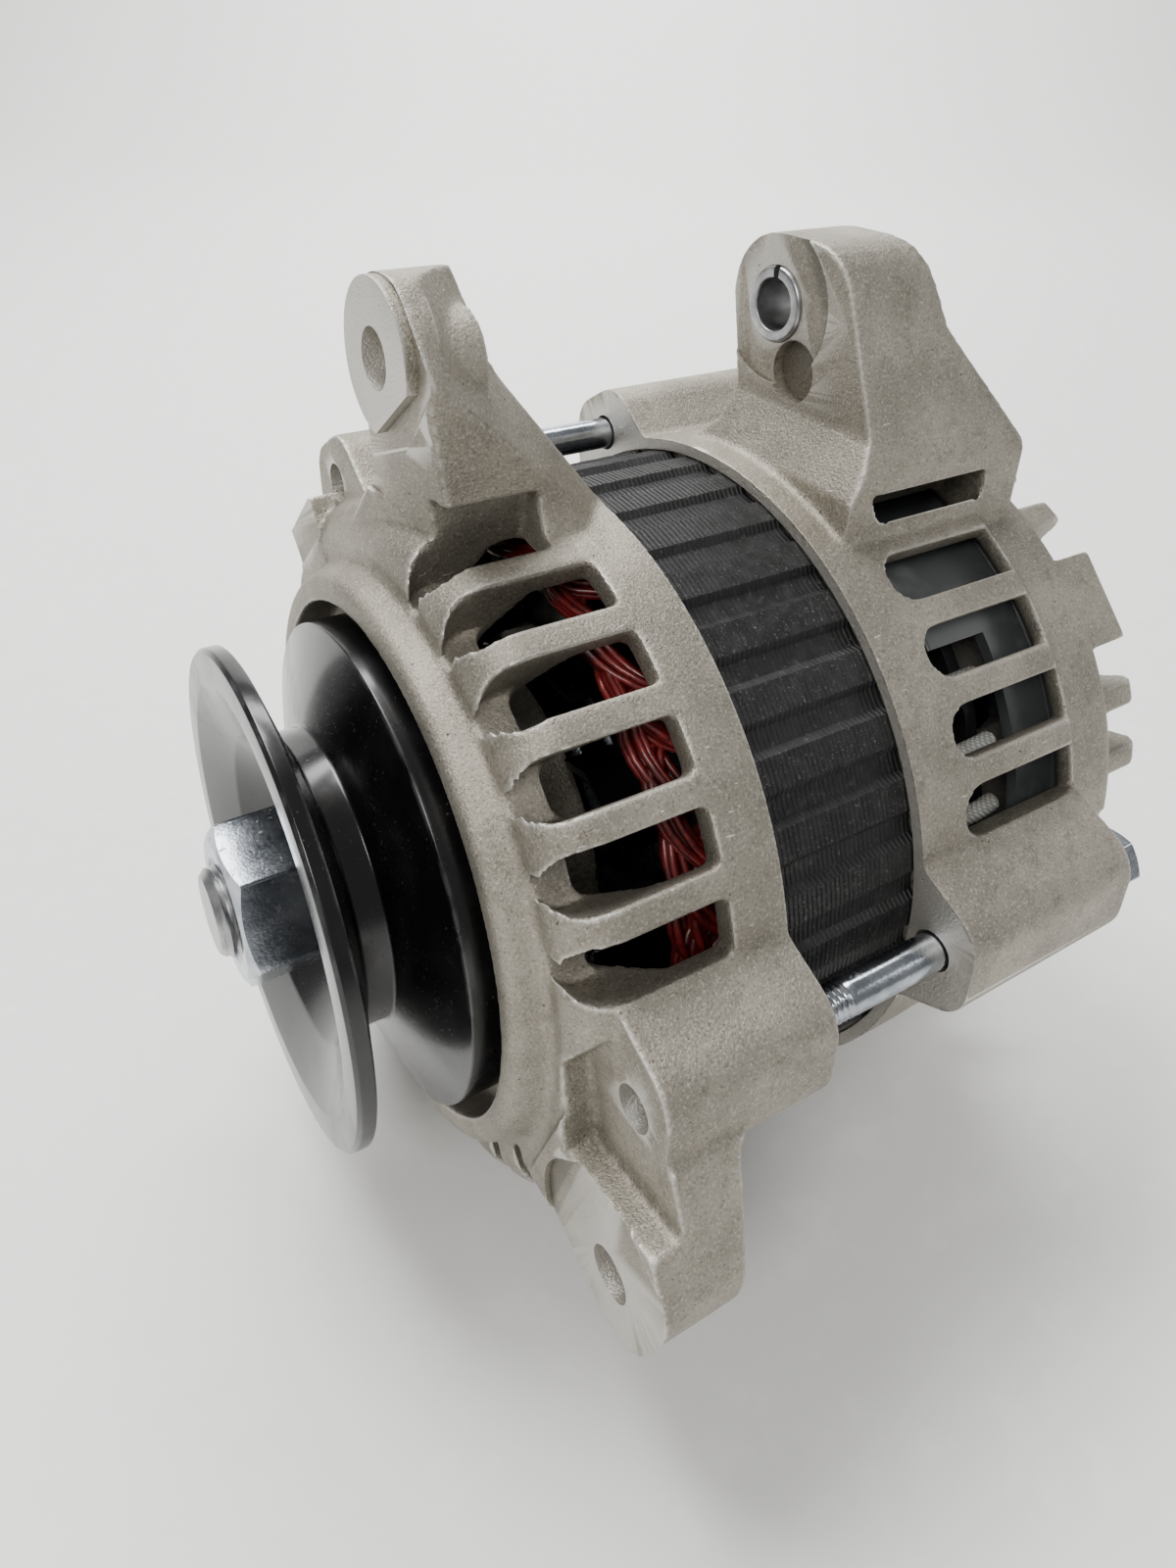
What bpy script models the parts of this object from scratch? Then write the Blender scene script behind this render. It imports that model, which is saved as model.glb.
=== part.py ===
"""Engine alternator with a single-groove belt pulley, modelled piece by piece.

Run it with: blender --background --python part.py, or from Blender's text editor.

Every piece is drawn in shaft coordinates: Z runs along the shaft from the pulley to the back,
with zero at the pulley's front face, Y points up to the pivot ear and X points to the far side.
One empty carries them all and turns the shaft into world X, so that world Z is up. The world's
origin is on the pivot bolt's axis, at the machined front face of the front pivot ear.
"""

import bmesh
import bpy
from math import atan2, ceil, cos, pi, radians, sin, tan
from mathutils import Matrix, Vector

MM = 0.001

# Fits and fineness shared by all pieces
GAP = 0.3 * MM
OVERRUN = 2.0 * MM
WELD = 0.01 * MM
ROUND_STEPS = 24
SHELL_STEPS = 36
SMALL_STEPS = 8
CORNER_STEP = radians(46)
SMOOTH_ANGLE = radians(35)
FLAT_ANGLE = radians(0.5)

# Pulley: a turned steel wheel with one V groove and a dished front
PULLEY_RADIUS = 40.5 * MM
PULLEY_WIDTH = 25.5 * MM
FRONT_EDGE = 2.75 * MM
GROOVE_WIDTH = 14.25 * MM
GROOVE_FLOOR = 4.8 * MM
GROOVE_DEPTH = 16.0 * MM
EDGE_CHAMFER = 0.6 * MM
DISH_RADIUS = 35.0 * MM
DISH_FLOOR_RADIUS = 19.0 * MM
DISH_DEPTH = 9.7 * MM
DISH_BREAK_DEPTH = 3.6 * MM
DISH_BREAK_RADIUS = 25.5 * MM
PULLEY_HUB_RADIUS = 20.0 * MM
PULLEY_WEB = 4.5 * MM

# Shaft and what is threaded on it
SHAFT_OVERHANG = 8.3 * MM
THREAD_RADIUS = 7.5 * MM
THREAD_LENGTH = 17.5 * MM
THREAD_CHAMFER = 1.0 * MM
JOURNAL_RADIUS = 8.5 * MM
CORE_RADIUS = 11.0 * MM
REAR_JOURNAL_RADIUS = 7.5 * MM
NUT_FLATS = 24.0 * MM
NUT_HEIGHT = 13.0 * MM
NUT_CHAMFER = 1.2 * MM
NUT_TURN = radians(8)
LOCK_WASHER_RADIUS = 12.4 * MM
LOCK_WASHER_THICKNESS = 2.0 * MM
LOCK_WASHER_SPLIT = 1.6 * MM
SPACER_RADIUS = 12.5 * MM

# Front ball bearing, 17 x 47 x 14
FRONT_BEARING_RADIUS = 23.5 * MM
FRONT_BEARING_WIDTH = 14.0 * MM
FRONT_INNER_RING_RADIUS = 12.6 * MM
FRONT_OUTER_RING_BORE = 19.2 * MM
FRONT_BALL_RADIUS = 4.2 * MM

# Rear ball bearing, 15 x 35 x 11
REAR_BEARING_RADIUS = 17.5 * MM
REAR_BEARING_WIDTH = 11.0 * MM
REAR_INNER_RING_RADIUS = 10.2 * MM
REAR_OUTER_RING_BORE = 14.4 * MM
REAR_BALL_RADIUS = 2.9 * MM

BALL_COUNT = 7
CAGE_WIDTH_SHARE = 0.9
CAGE_THICKNESS_SHARE = 0.3

# Retainer plate that holds the front bearing in its seat, and its screws
RETAINER_THICKNESS = 1.8 * MM
RETAINER_BORE = 17.0 * MM
RETAINER_RADIUS = 29.2 * MM
RETAINER_SCREW_CIRCLE = 26.4 * MM
RETAINER_SCREW_RADIUS = 1.8 * MM
RETAINER_SCREW_LENGTH = 9.0 * MM
RETAINER_HEAD_RADIUS = 3.2 * MM
RETAINER_HEAD_HEIGHT = 1.6 * MM

# Front bracket: a die-cast dome with a collar round the pulley's back
RIM_RADIUS = 59.4 * MM
WALL = 4.0 * MM
FRONT_BRACKET_LENGTH = 37.2 * MM
PULLEY_SINK = 6.0 * MM
COLLAR_BORE = 43.5 * MM
COLLAR_LIP_RADIUS = 47.4 * MM
COLLAR_DEPTH = 7.5 * MM
COLLAR_ROUND = 2.4 * MM
VALLEY_RADIUS = 49.4 * MM
VALLEY_DEPTH = 5.4 * MM
BROW_RADIUS = 52.4 * MM
BROW_DEPTH = 4.7 * MM
DOME_DEPTH = 6.5 * MM
DOME_ROUND = 8.0 * MM
FRONT_WALL = 4.2 * MM
FRONT_HUB_RADIUS = 29.5 * MM
FRONT_HUB_BORE = 20.4 * MM
INNER_CORNER_RADIUS = 46.5 * MM
INNER_CHAMFER = 8.0 * MM
REGISTER_DEPTH = 1.5 * MM

# Cooling slots in both brackets, eight to a sector between two through bolts
BOLT_COUNT = 3
FIRST_BOLT_ANGLE = radians(58.4)
BOLT_CIRCLE_RADIUS = 62.2 * MM
SLOTS_PER_SECTOR = 8
SLOT_PITCH = radians(12.3)
SLOT_WIDTH = 8.2 * MM
SLOT_FLOOR_RADIUS = 47.4 * MM
FRONT_BAND = 9.0 * MM
FRONT_SLOT_LENGTH = 20.2 * MM

# Through bolts, M6, entered from the back
BOLT_RADIUS = 2.9 * MM
BOLT_HOLE_RADIUS = 3.3 * MM
BOLT_HEAD_FLATS = 10.0 * MM
BOLT_HEAD_HEIGHT = 4.4 * MM
BOLT_WASHER_RADIUS = 6.4 * MM
BOLT_WASHER_THICKNESS = 1.2 * MM
BOLT_SPOT_RADIUS = 7.1 * MM
BOSS_RADIUS = 7.4 * MM
BOSS_FOOT = 13.5 * MM
BOSS_SINK = 6.0 * MM
FRONT_BOSS_LENGTH = 27.6 * MM
REAR_BOSS_LENGTH = 36.4 * MM

# Pivot ears, one on each bracket: across is to the far side, drops are down from the hole
PIVOT_ANGLE = radians(90)
PIVOT_RISE = 83.2 * MM
PIVOT_HOLE_RADIUS = 4.25 * MM
PIVOT_CLEAR_ANGLE = radians(17)
EAR_FACE_SETBACK = 5.1 * MM
EAR_SPOT_RADIUS = 10.6 * MM
EAR_SPOT_HEIGHT = 1.4 * MM
EAR_FAR_SIDE = 10.6 * MM
EAR_NEAR_SIDE = 13.2 * MM
EAR_TIP = 10.9 * MM
EAR_TIP_ROUND = 10.0 * MM
EAR_WAIST = 7.2 * MM
EAR_WAIST_DROP = 15.0 * MM
EAR_ROOT_SPREAD = 20.0 * MM
EAR_ROOT_DROP = 20.0 * MM
EAR_FOOT_DROP = 34.0 * MM
EAR_THICKNESS = 13.5 * MM
EAR_BACK_BULGE = 3.4 * MM
EAR_BACK_ROUND = 3.0 * MM
EAR_BACK_DROP = 1.5 * MM
EAR_KNEE_DROP = 13.0 * MM
EAR_FRONT_FOOT = 3.6 * MM
REAR_EAR_SETBACK = 10.5 * MM
REAR_EAR_THICKNESS = 15.5 * MM
REAR_EAR_NEAR_SIDE = 14.2 * MM
REAR_EAR_ROOT_SPREAD = 27.0 * MM
REAR_EAR_HEEL = 18.0 * MM
REAR_EAR_TOE = 5.0 * MM
BUSH_RADIUS = 6.0 * MM
BUSH_BORE = 4.15 * MM
BUSH_SPLIT = 1.2 * MM
BUSH_PROUD = 0.7 * MM

# Adjusting ear on the front bracket, tapped for the belt adjuster's bolt
ADJUST_ANGLE = radians(201.5)
ADJUST_RISE = 70.4 * MM
ADJUST_HOLE_RADIUS = 4.0 * MM
ADJUST_CLEAR_ANGLE = radians(16)
ADJUST_TIP = 10.2 * MM
ADJUST_TIP_ROUND = 9.0 * MM
ADJUST_SIDE = 10.6 * MM
ADJUST_WEB_SPREAD = 25.0 * MM
ADJUST_WEB_DROP = 4.0 * MM
ADJUST_FOOT_DROP = 18.0 * MM
ADJUST_THICKNESS = 12.0 * MM

# Stator: a stack of laminations with 36 slots, and its winding
STACK_LENGTH = 28.5 * MM
STACK_RADIUS = 57.2 * MM
STACK_BORE = 43.5 * MM
STACK_SLOTS = 36
STACK_GROOVE_DEPTH = 1.0 * MM
STACK_GROOVE_WIDTH = 3.0 * MM
SLOT_BREADTH = 4.0 * MM
SLOT_BOTTOM_RADIUS = 52.4 * MM
TURNS_INNER_RADIUS = 45.4 * MM
TURNS_OUTER_RADIUS = 52.8 * MM
TURNS_LENGTH = 12.6 * MM

# Rotor: two claw poles round a field coil, with a fan on each side
AIR_GAP = 0.5 * MM
POLE_COUNT = 6
POLE_DISC = 10.0 * MM
ROTOR_LENGTH = 35.4 * MM
CLAW_SHORT = 1.2 * MM
CLAW_ROOT_WIDTH = 26.0 * MM
CLAW_TIP_WIDTH = 10.5 * MM
CLAW_ROOT_DEPTH = 12.0 * MM
CLAW_TIP_DEPTH = 4.2 * MM
CLAW_EDGE = 1.6 * MM
COIL_RADIUS = 28.4 * MM
FAN_PLATE = 1.5 * MM
FAN_RADIUS = 41.0 * MM
FAN_PLATE_RADIUS = 35.0 * MM
FAN_BLADE_COUNT = 11
FAN_BLADE_HEIGHT = 7.6 * MM
FAN_BLADE_FOOT_RADIUS = 31.0 * MM
FAN_BLADE_THICKNESS = 1.5 * MM
FAN_BLADE_SWEEP = radians(22)

# Slip rings on their insulating sleeve
SLIP_SLEEVE_RADIUS = 9.6 * MM
SLIP_SLEEVE_LENGTH = 15.0 * MM
SLIP_RING_RADIUS = 11.6 * MM
SLIP_RING_WIDTH = 5.0 * MM
SLIP_RING_SPACE = 2.4 * MM
SLIP_SLEEVE_GAP = 1.0 * MM

# Rear bracket: a die-cast cup with raised bars, a finned back and the rear bearing's seat
REAR_BAND = 9.7 * MM
REAR_SLOT_LENGTH = 26.0 * MM
BAR_END = 34.6 * MM
BAR_END_ROUND = 1.5 * MM
REAR_STEP_LENGTH = 2.0 * MM
REAR_SHOULDER_RADIUS = 57.4 * MM
REAR_SHOULDER_LENGTH = 46.4 * MM
REAR_SHOULDER_ROUND = 3.0 * MM
REAR_BRACKET_LENGTH = 51.2 * MM
REAR_FACE_RADIUS = 52.5 * MM
REAR_SLOT_FLOOR = 50.0 * MM
BACK_WALL = 3.6 * MM
REAR_HUB_RADIUS = 22.0 * MM
REAR_HUB_LENGTH = 20.0 * MM
FIN_HEIGHT = 8.6 * MM
FIN_THICKNESS = 4.4 * MM
FIN_INNER_RADIUS = 26.0 * MM
FIN_OUTER_RADIUS = 54.4 * MM
FIN_ROUND = 3.0 * MM
TAB_INNER_RADIUS = 45.0 * MM
FIN_PLACES = [3, 4, 7, 8]
TAB_PLACE = 5.5
INLET_INNER_RADIUS = 29.0 * MM
INLET_OUTER_RADIUS = 47.0 * MM
INLET_WIDTH = 5.4 * MM
INNER_BREAK = 2.0 * MM
REAR_SEAT_LIP = 2.0 * MM

# Rectifier: two heat sinks with three diodes each, and the plate that carries their terminals
RECTIFIER_START = radians(-20)
RECTIFIER_END = radians(200)
NEGATIVE_SINK_INNER = 24.5 * MM
NEGATIVE_SINK_OUTER = 36.0 * MM
NEGATIVE_SINK_THICKNESS = 3.5 * MM
NEGATIVE_DIODE_CIRCLE = 30.2 * MM
NEGATIVE_DIODE_ANGLES = [radians(30), radians(100), radians(175)]
POSITIVE_SINK_INNER = 37.5 * MM
POSITIVE_SINK_OUTER = 49.0 * MM
POSITIVE_SINK_THICKNESS = 2.5 * MM
POSITIVE_SINK_SETBACK = 9.4 * MM
POSITIVE_DIODE_CIRCLE = 43.2 * MM
POSITIVE_DIODE_ANGLES = [radians(5), radians(80), radians(150)]
DIODE_RADIUS = 4.4 * MM
DIODE_HEIGHT = 5.0 * MM
DIODE_WIRE_RADIUS = 0.7 * MM
TERMINAL_PLATE_INNER = 24.0 * MM
TERMINAL_PLATE_OUTER = 47.0 * MM
TERMINAL_PLATE_THICKNESS = 2.5 * MM
TERMINAL_PLATE_SETBACK = 19.9 * MM
TERMINAL_PLATE_SPREAD = radians(10)
POST_RADIUS = 2.5 * MM
POST_CIRCLE = 38.0 * MM
POST_INSET = radians(4)

# Plastic baffle seen behind the rear windows, with a notch for the stator's leads
BAFFLE_RADIUS = 52.3 * MM
BAFFLE_WALL = 2.0 * MM
BAFFLE_LENGTH = 28.5 * MM
BAFFLE_RIM_LENGTH = 7.0 * MM
BAFFLE_NOTCH_START = radians(136)
BAFFLE_NOTCH_END = radians(176)
BAFFLE_NOTCH_DEPTH = 12.5 * MM

# Stator leads in sleeving: places along the shaft and radii, from the winding to the terminals
LEAD_RADIUS = 1.6 * MM
LEAD_ANGLES = [radians(143), radians(156), radians(169)]
LEAD_START_RADIUS = 49.0 * MM
LEAD_BOW_RADIUS = 49.6 * MM
LEAD_END_GAP = 1.2 * MM

# Output stud through the back wall, with its insulator
STUD_ANGLE = radians(38)
STUD_RADIUS = 3.0 * MM
STUD_HEAD_HEIGHT = 3.6 * MM
STUD_LENGTH = 31.5 * MM
INSULATOR_RADIUS = 6.0 * MM
INSULATOR_FLANGE_RADIUS = 8.5 * MM
INSULATOR_FLANGE = 3.0 * MM
STUD_WASHER_RADIUS = 6.4 * MM
STUD_WASHER_THICKNESS = 1.2 * MM
STUD_NUT_FLATS = 10.0 * MM
STUD_NUT_HEIGHT = 5.0 * MM
STUD_CLEAR_ANGLE = radians(12)

# Brushes in their holder below the slip rings, with the regulator and its socket behind
BRUSH_ANGLE = radians(270)
BRUSH_BREADTH = 5.0 * MM
BRUSH_WIDTH = 6.5 * MM
BRUSH_LENGTH = 15.0 * MM
BRUSH_TRAVEL = 5.0 * MM
SPRING_LENGTH = 9.5 * MM
SPRING_COIL_RADIUS = 1.8 * MM
SPRING_WIRE_RADIUS = 0.35 * MM
SPRING_TURNS = 3
HOLDER_INNER_RADIUS = 13.2 * MM
HOLDER_OUTER_RADIUS = 40.0 * MM
HOLDER_HALF_WIDTH = 6.5 * MM
HOLDER_LENGTH = 15.0 * MM
FLANGE_THICKNESS = 2.0 * MM
REGULATOR_HALF_WIDTH = 15.5 * MM
REGULATOR_INNER = 24.5 * MM
REGULATOR_OUTER = 46.5 * MM
REGULATOR_LENGTH = 12.0 * MM
SOCKET_HALF_WIDTH = 10.0 * MM
SOCKET_INNER = 30.0 * MM
SOCKET_OUTER = 42.0 * MM
SOCKET_LENGTH = 11.5 * MM
SOCKET_WALL = 1.5 * MM
SOCKET_CLEAR_ANGLE = radians(26)
TERMINAL_COUNT = 3
TERMINAL_PITCH = 5.4 * MM
TERMINAL_WIDTH = 2.4 * MM
TERMINAL_THICKNESS = 0.8 * MM
TERMINAL_LENGTH = 8.0 * MM

# Places along the shaft, worked out from the sizes above
NUT_BACK_AT = DISH_DEPTH - LOCK_WASHER_THICKNESS - 2 * GAP
COLLAR_FRONT_AT = PULLEY_WIDTH - PULLEY_SINK
WALL_FRONT_AT = COLLAR_FRONT_AT + COLLAR_DEPTH
WALL_BACK_AT = WALL_FRONT_AT + FRONT_WALL
FRONT_BEARING_AT = WALL_BACK_AT + GAP
RETAINER_AT = FRONT_BEARING_AT + FRONT_BEARING_WIDTH + GAP
FRONT_RIM_AT = COLLAR_FRONT_AT + FRONT_BRACKET_LENGTH
STACK_AT = FRONT_RIM_AT - REGISTER_DEPTH + GAP
REAR_RIM_AT = STACK_AT + STACK_LENGTH + GAP - REGISTER_DEPTH
BACK_FACE_AT = REAR_RIM_AT + REAR_BRACKET_LENGTH
EAR_FACE_AT = COLLAR_FRONT_AT + EAR_FACE_SETBACK
REAR_EAR_FACE_AT = REAR_RIM_AT + REAR_EAR_SETBACK
ROTOR_AT = STACK_AT + (STACK_LENGTH - ROTOR_LENGTH) / 2
ROTOR_END_AT = ROTOR_AT + ROTOR_LENGTH
REAR_HUB_AT = BACK_FACE_AT - REAR_HUB_LENGTH
REAR_BEARING_AT = REAR_HUB_AT + REAR_SEAT_LIP
WALL_INSIDE_AT = BACK_FACE_AT - BACK_WALL
SLEEVE_AT = REAR_HUB_AT - SLIP_SLEEVE_GAP - SLIP_SLEEVE_LENGTH
POSITIVE_SINK_AT = WALL_INSIDE_AT - POSITIVE_SINK_SETBACK - POSITIVE_SINK_THICKNESS
TERMINAL_PLATE_AT = WALL_INSIDE_AT - TERMINAL_PLATE_SETBACK - TERMINAL_PLATE_THICKNESS
REGULATOR_AT = REAR_HUB_AT - SLIP_SLEEVE_GAP + FLANGE_THICKNESS + GAP
FIRST_SLOT_OFFSET = (2 * pi / BOLT_COUNT - (SLOTS_PER_SECTOR - 1) * SLOT_PITCH) / 2
BOLT_ANGLES = [FIRST_BOLT_ANGLE + 2 * pi * i / BOLT_COUNT for i in range(BOLT_COUNT)]
SLOT_ANGLES = [
    bolt + FIRST_SLOT_OFFSET + SLOT_PITCH * i for bolt in BOLT_ANGLES for i in range(SLOTS_PER_SECTOR)
]


def clear_scene():
    for old in list(bpy.data.objects):
        bpy.data.objects.remove(old, do_unlink=True)
    for old in list(bpy.data.collections):
        bpy.data.collections.remove(old)


def new_collection(name):
    collection = bpy.data.collections.new(name)
    bpy.context.scene.collection.children.link(collection)
    return collection


clear_scene()
PARTS = new_collection("alternator")
CUTTERS = new_collection("cutters")

FINISHES = {
    "cast_aluminium": ((0.42, 0.39, 0.35), 0.5, 0.9),
    "black_steel": ((0.02, 0.02, 0.022), 0.25, 0.6),
    "zinc_steel": ((0.62, 0.65, 0.68), 0.28, 1.0),
    "bare_steel": ((0.45, 0.45, 0.46), 0.3, 1.0),
    "lamination": ((0.03, 0.03, 0.032), 0.4, 0.5),
    "enamelled_wire": ((0.3, 0.03, 0.03), 0.3, 0.2),
    "copper": ((0.72, 0.35, 0.2), 0.3, 1.0),
    "black_plastic": ((0.02, 0.02, 0.02), 0.5, 0.0),
    "grey_plastic": ((0.09, 0.1, 0.1), 0.4, 0.0),
    "carbon": ((0.04, 0.04, 0.04), 0.6, 0.3),
    "sleeving": ((0.5, 0.5, 0.48), 0.7, 0.0),
}


def finish(name):
    known = bpy.data.materials.get(name)
    if known:
        return known
    colour, roughness, metallic = FINISHES[name]
    material = bpy.data.materials.new(name)
    material.use_nodes = True
    shader = material.node_tree.nodes["Principled BSDF"]
    shader.inputs["Base Color"].default_value = (*colour, 1)
    shader.inputs["Roughness"].default_value = roughness
    shader.inputs["Metallic"].default_value = metallic
    return material


def carrier(name, parent=None, matrix=Matrix()):
    """An empty that carries pieces; a moving body's empty sits on its joint's axis."""
    empty = bpy.data.objects.new(name, None)
    PARTS.objects.link(empty)
    empty.parent = parent
    empty.matrix_local = matrix
    return empty


SHAFT_TO_WORLD = Matrix(((0, 0, 1, -EAR_FACE_AT), (1, 0, 0, 0), (0, 1, 0, -PIVOT_RISE), (0, 0, 0, 1)))
HOUSING = carrier("housing_carrier", matrix=SHAFT_TO_WORLD)
ROTOR = carrier("rotor_axis", HOUSING)
FRONT_CAGE = carrier("front_cage_axis", HOUSING)
REAR_CAGE = carrier("rear_cage_axis", HOUSING)


def piece(name, mesh, material, parent=HOUSING):
    mesh.materials.clear()
    mesh.materials.append(finish(material))
    item = bpy.data.objects.new(name, mesh)
    PARTS.objects.link(item)
    item.parent = parent
    return item


def cutter(name, mesh):
    item = bpy.data.objects.new(name, mesh)
    CUTTERS.objects.link(item)
    item.parent = HOUSING
    item.hide_render = True
    item.display_type = "WIRE"
    return item


def combine(item, operation, tools):
    for tool in tools:
        step = item.modifiers.new(operation.lower(), "BOOLEAN")
        step.operation = operation
        step.solver = "EXACT"
        step.object = tool
    return item


def cut(item, *tools):
    return combine(item, "DIFFERENCE", tools)


def join(item, *tools):
    return combine(item, "UNION", tools)


def keep_common(item, *tools):
    return combine(item, "INTERSECT", tools)


def polar(radius, angle):
    return (radius * cos(angle), radius * sin(angle))


def arc(radius, start, end, steps):
    return [polar(radius, start + (end - start) * i / steps) for i in range(steps + 1)]


def circle(radius, steps):
    return [polar(radius, 2 * pi * i / steps) for i in range(steps)]


def rounded(corners):
    """The outline through corners (x, y) or (x, y, radius), with an arc at each radius."""
    path = []
    for index, corner in enumerate(corners):
        here = Vector(corner[:2])
        if len(corner) < 3:
            path.append(tuple(here))
            continue
        back = (Vector(corners[index - 1][:2]) - here).normalized()
        ahead = (Vector(corners[(index + 1) % len(corners)][:2]) - here).normalized()
        half = back.angle(ahead) / 2
        centre = here + (back + ahead).normalized() * corner[2] / sin(half)
        first = here + back * corner[2] / tan(half) - centre
        last = here + ahead * corner[2] / tan(half) - centre
        start = atan2(first.y, first.x)
        turn = (atan2(last.y, last.x) - start + pi) % (2 * pi) - pi
        steps = max(2, ceil(abs(turn) / CORNER_STEP))
        for i in range(steps + 1):
            x, y = polar(corner[2], start + turn * i / steps)
            path.append((centre.x + x, centre.y + y))
    return path


def weld(mesh):
    shape = bmesh.new()
    shape.from_mesh(mesh)
    bmesh.ops.remove_doubles(shape, verts=shape.verts, dist=WELD)
    bmesh.ops.dissolve_limit(
        shape, angle_limit=FLAT_ANGLE, use_dissolve_boundaries=False, verts=shape.verts, edges=shape.edges,
        delimit=set(),
    )
    bmesh.ops.recalc_face_normals(shape, faces=shape.faces)
    shape.to_mesh(mesh)
    shape.free()
    return mesh


def evaluated_mesh(item):
    bpy.context.view_layer.update()
    graph = bpy.context.evaluated_depsgraph_get()
    return bpy.data.meshes.new_from_object(item.evaluated_get(graph))


def flat(loops, start, length, place=Matrix()):
    """A flat outline, with holes where more loops follow, made solid from start by length."""
    curve = bpy.data.curves.new("outline", "CURVE")
    curve.dimensions = "2D"
    curve.fill_mode = "BOTH"
    curve.extrude = length / 2
    for loop in loops:
        spline = curve.splines.new("POLY")
        spline.points.add(len(loop) - 1)
        for point, (x, y) in zip(spline.points, loop):
            point.co = (x, y, 0, 1)
        spline.use_cyclic_u = True
    holder = bpy.data.objects.new("outline", curve)
    bpy.context.scene.collection.objects.link(holder)
    mesh = weld(evaluated_mesh(holder))
    bpy.data.objects.remove(holder)
    bpy.data.curves.remove(curve)
    mesh.transform(place @ Matrix.Translation((0, 0, start + length / 2)))
    return mesh


def turned(profile, steps=ROUND_STEPS):
    """A solid of revolution from (along, radius) points; one that meets the axis is closed there."""
    area = 0
    for index, (z, r) in enumerate(profile):
        before_z, before_r = profile[index - 1]
        area += before_r * z - r * before_z
    if area > 0:
        profile = profile[::-1]
    on_axis = any(r == 0 for z, r in profile)
    while on_axis and profile[0][1] > 0:
        profile = profile[1:] + profile[:1]
    if on_axis and profile[-1][1] > 0:
        profile = profile[1:] + profile[:1]
    shape = bmesh.new()
    verts = [shape.verts.new((r, 0, z)) for z, r in profile]
    for first, second in zip(verts, verts[1:]):
        shape.edges.new((first, second))
    if not on_axis:
        shape.edges.new((verts[-1], verts[0]))
    mesh = bpy.data.meshes.new("profile")
    shape.to_mesh(mesh)
    shape.free()
    holder = bpy.data.objects.new("profile", mesh)
    bpy.context.scene.collection.objects.link(holder)
    screw = holder.modifiers.new("turn", "SCREW")
    screw.axis = "Z"
    screw.steps = steps
    screw.render_steps = steps
    screw.use_merge_vertices = True
    screw.merge_threshold = WELD
    solid = weld(evaluated_mesh(holder))
    bpy.data.objects.remove(holder)
    bpy.data.meshes.remove(mesh)
    return solid


def ring(start, length, inner, outer, steps=ROUND_STEPS):
    return turned([(start, inner), (start, outer), (start + length, outer), (start + length, inner)], steps)


def rod(start, length, radius, centre=(0, 0), steps=SMALL_STEPS):
    shape = bmesh.new()
    place = Matrix.Translation((*centre, start + length / 2))
    bmesh.ops.create_cone(
        shape, cap_ends=True, segments=steps, radius1=radius, radius2=radius, depth=length, matrix=place
    )
    mesh = bpy.data.meshes.new("rod")
    shape.to_mesh(mesh)
    shape.free()
    return mesh


def merged(meshes):
    shape = bmesh.new()
    for mesh in meshes:
        shape.from_mesh(mesh)
        bpy.data.meshes.remove(mesh)
    whole = bpy.data.meshes.new("merged")
    shape.to_mesh(whole)
    shape.free()
    return whole


def spun(mesh, angles):
    """Copies of a mesh turned about the shaft to each angle, in one mesh."""
    copies = []
    for angle in angles:
        copy = mesh.copy()
        copy.transform(Matrix.Rotation(angle, 4, "Z"))
        copies.append(copy)
    bpy.data.meshes.remove(mesh)
    return merged(copies)


def facing(angle):
    """Places an outline drawn as (across, rise) at an angle round the shaft, extruded along it."""
    return Matrix.Rotation(angle - pi / 2, 4, "Z")


def lengthwise(angle):
    """Places an outline drawn as (along, radius) in the plane through the shaft at an angle."""
    turn = Matrix.Rotation(angle, 4, "Z")
    return turn @ Matrix(((0, 1, 0, 0), (0, 0, 1, 0), (1, 0, 0, 0), (0, 0, 0, 1)))


def outward(angle):
    """Places an outline drawn as (along, round) so that its extrusion runs out from the shaft."""
    turn = Matrix.Rotation(angle, 4, "Z")
    return turn @ Matrix(((0, 0, -1, 0), (0, 1, 0, 0), (1, 0, 0, 0), (0, 0, 0, 1)))


def outward_block(outline, inner, outer, angle=0):
    return flat([outline], -outer, outer - inner, outward(angle))


def rectangle(left, right, low, high):
    return [(left, low), (right, low), (right, high), (left, high)]


def sector(inner, outer, start, end, steps=12):
    return arc(outer, start, end, steps) + arc(inner, end, start, steps)


def tube(points, radius, resolution=0):
    """A wire along the points, closed at both ends."""
    curve = bpy.data.curves.new("wire", "CURVE")
    curve.dimensions = "3D"
    curve.bevel_depth = radius
    curve.bevel_resolution = resolution
    curve.use_fill_caps = True
    spline = curve.splines.new("POLY")
    spline.points.add(len(points) - 1)
    for point, place in zip(spline.points, points):
        point.co = (*place, 1)
    holder = bpy.data.objects.new("wire", curve)
    bpy.context.scene.collection.objects.link(holder)
    mesh = weld(evaluated_mesh(holder))
    bpy.data.objects.remove(holder)
    bpy.data.curves.remove(curve)
    return mesh


def hexagon(flats):
    return [polar(flats / 2 / cos(pi / 6), pi / 3 * i) for i in range(6)]


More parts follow.
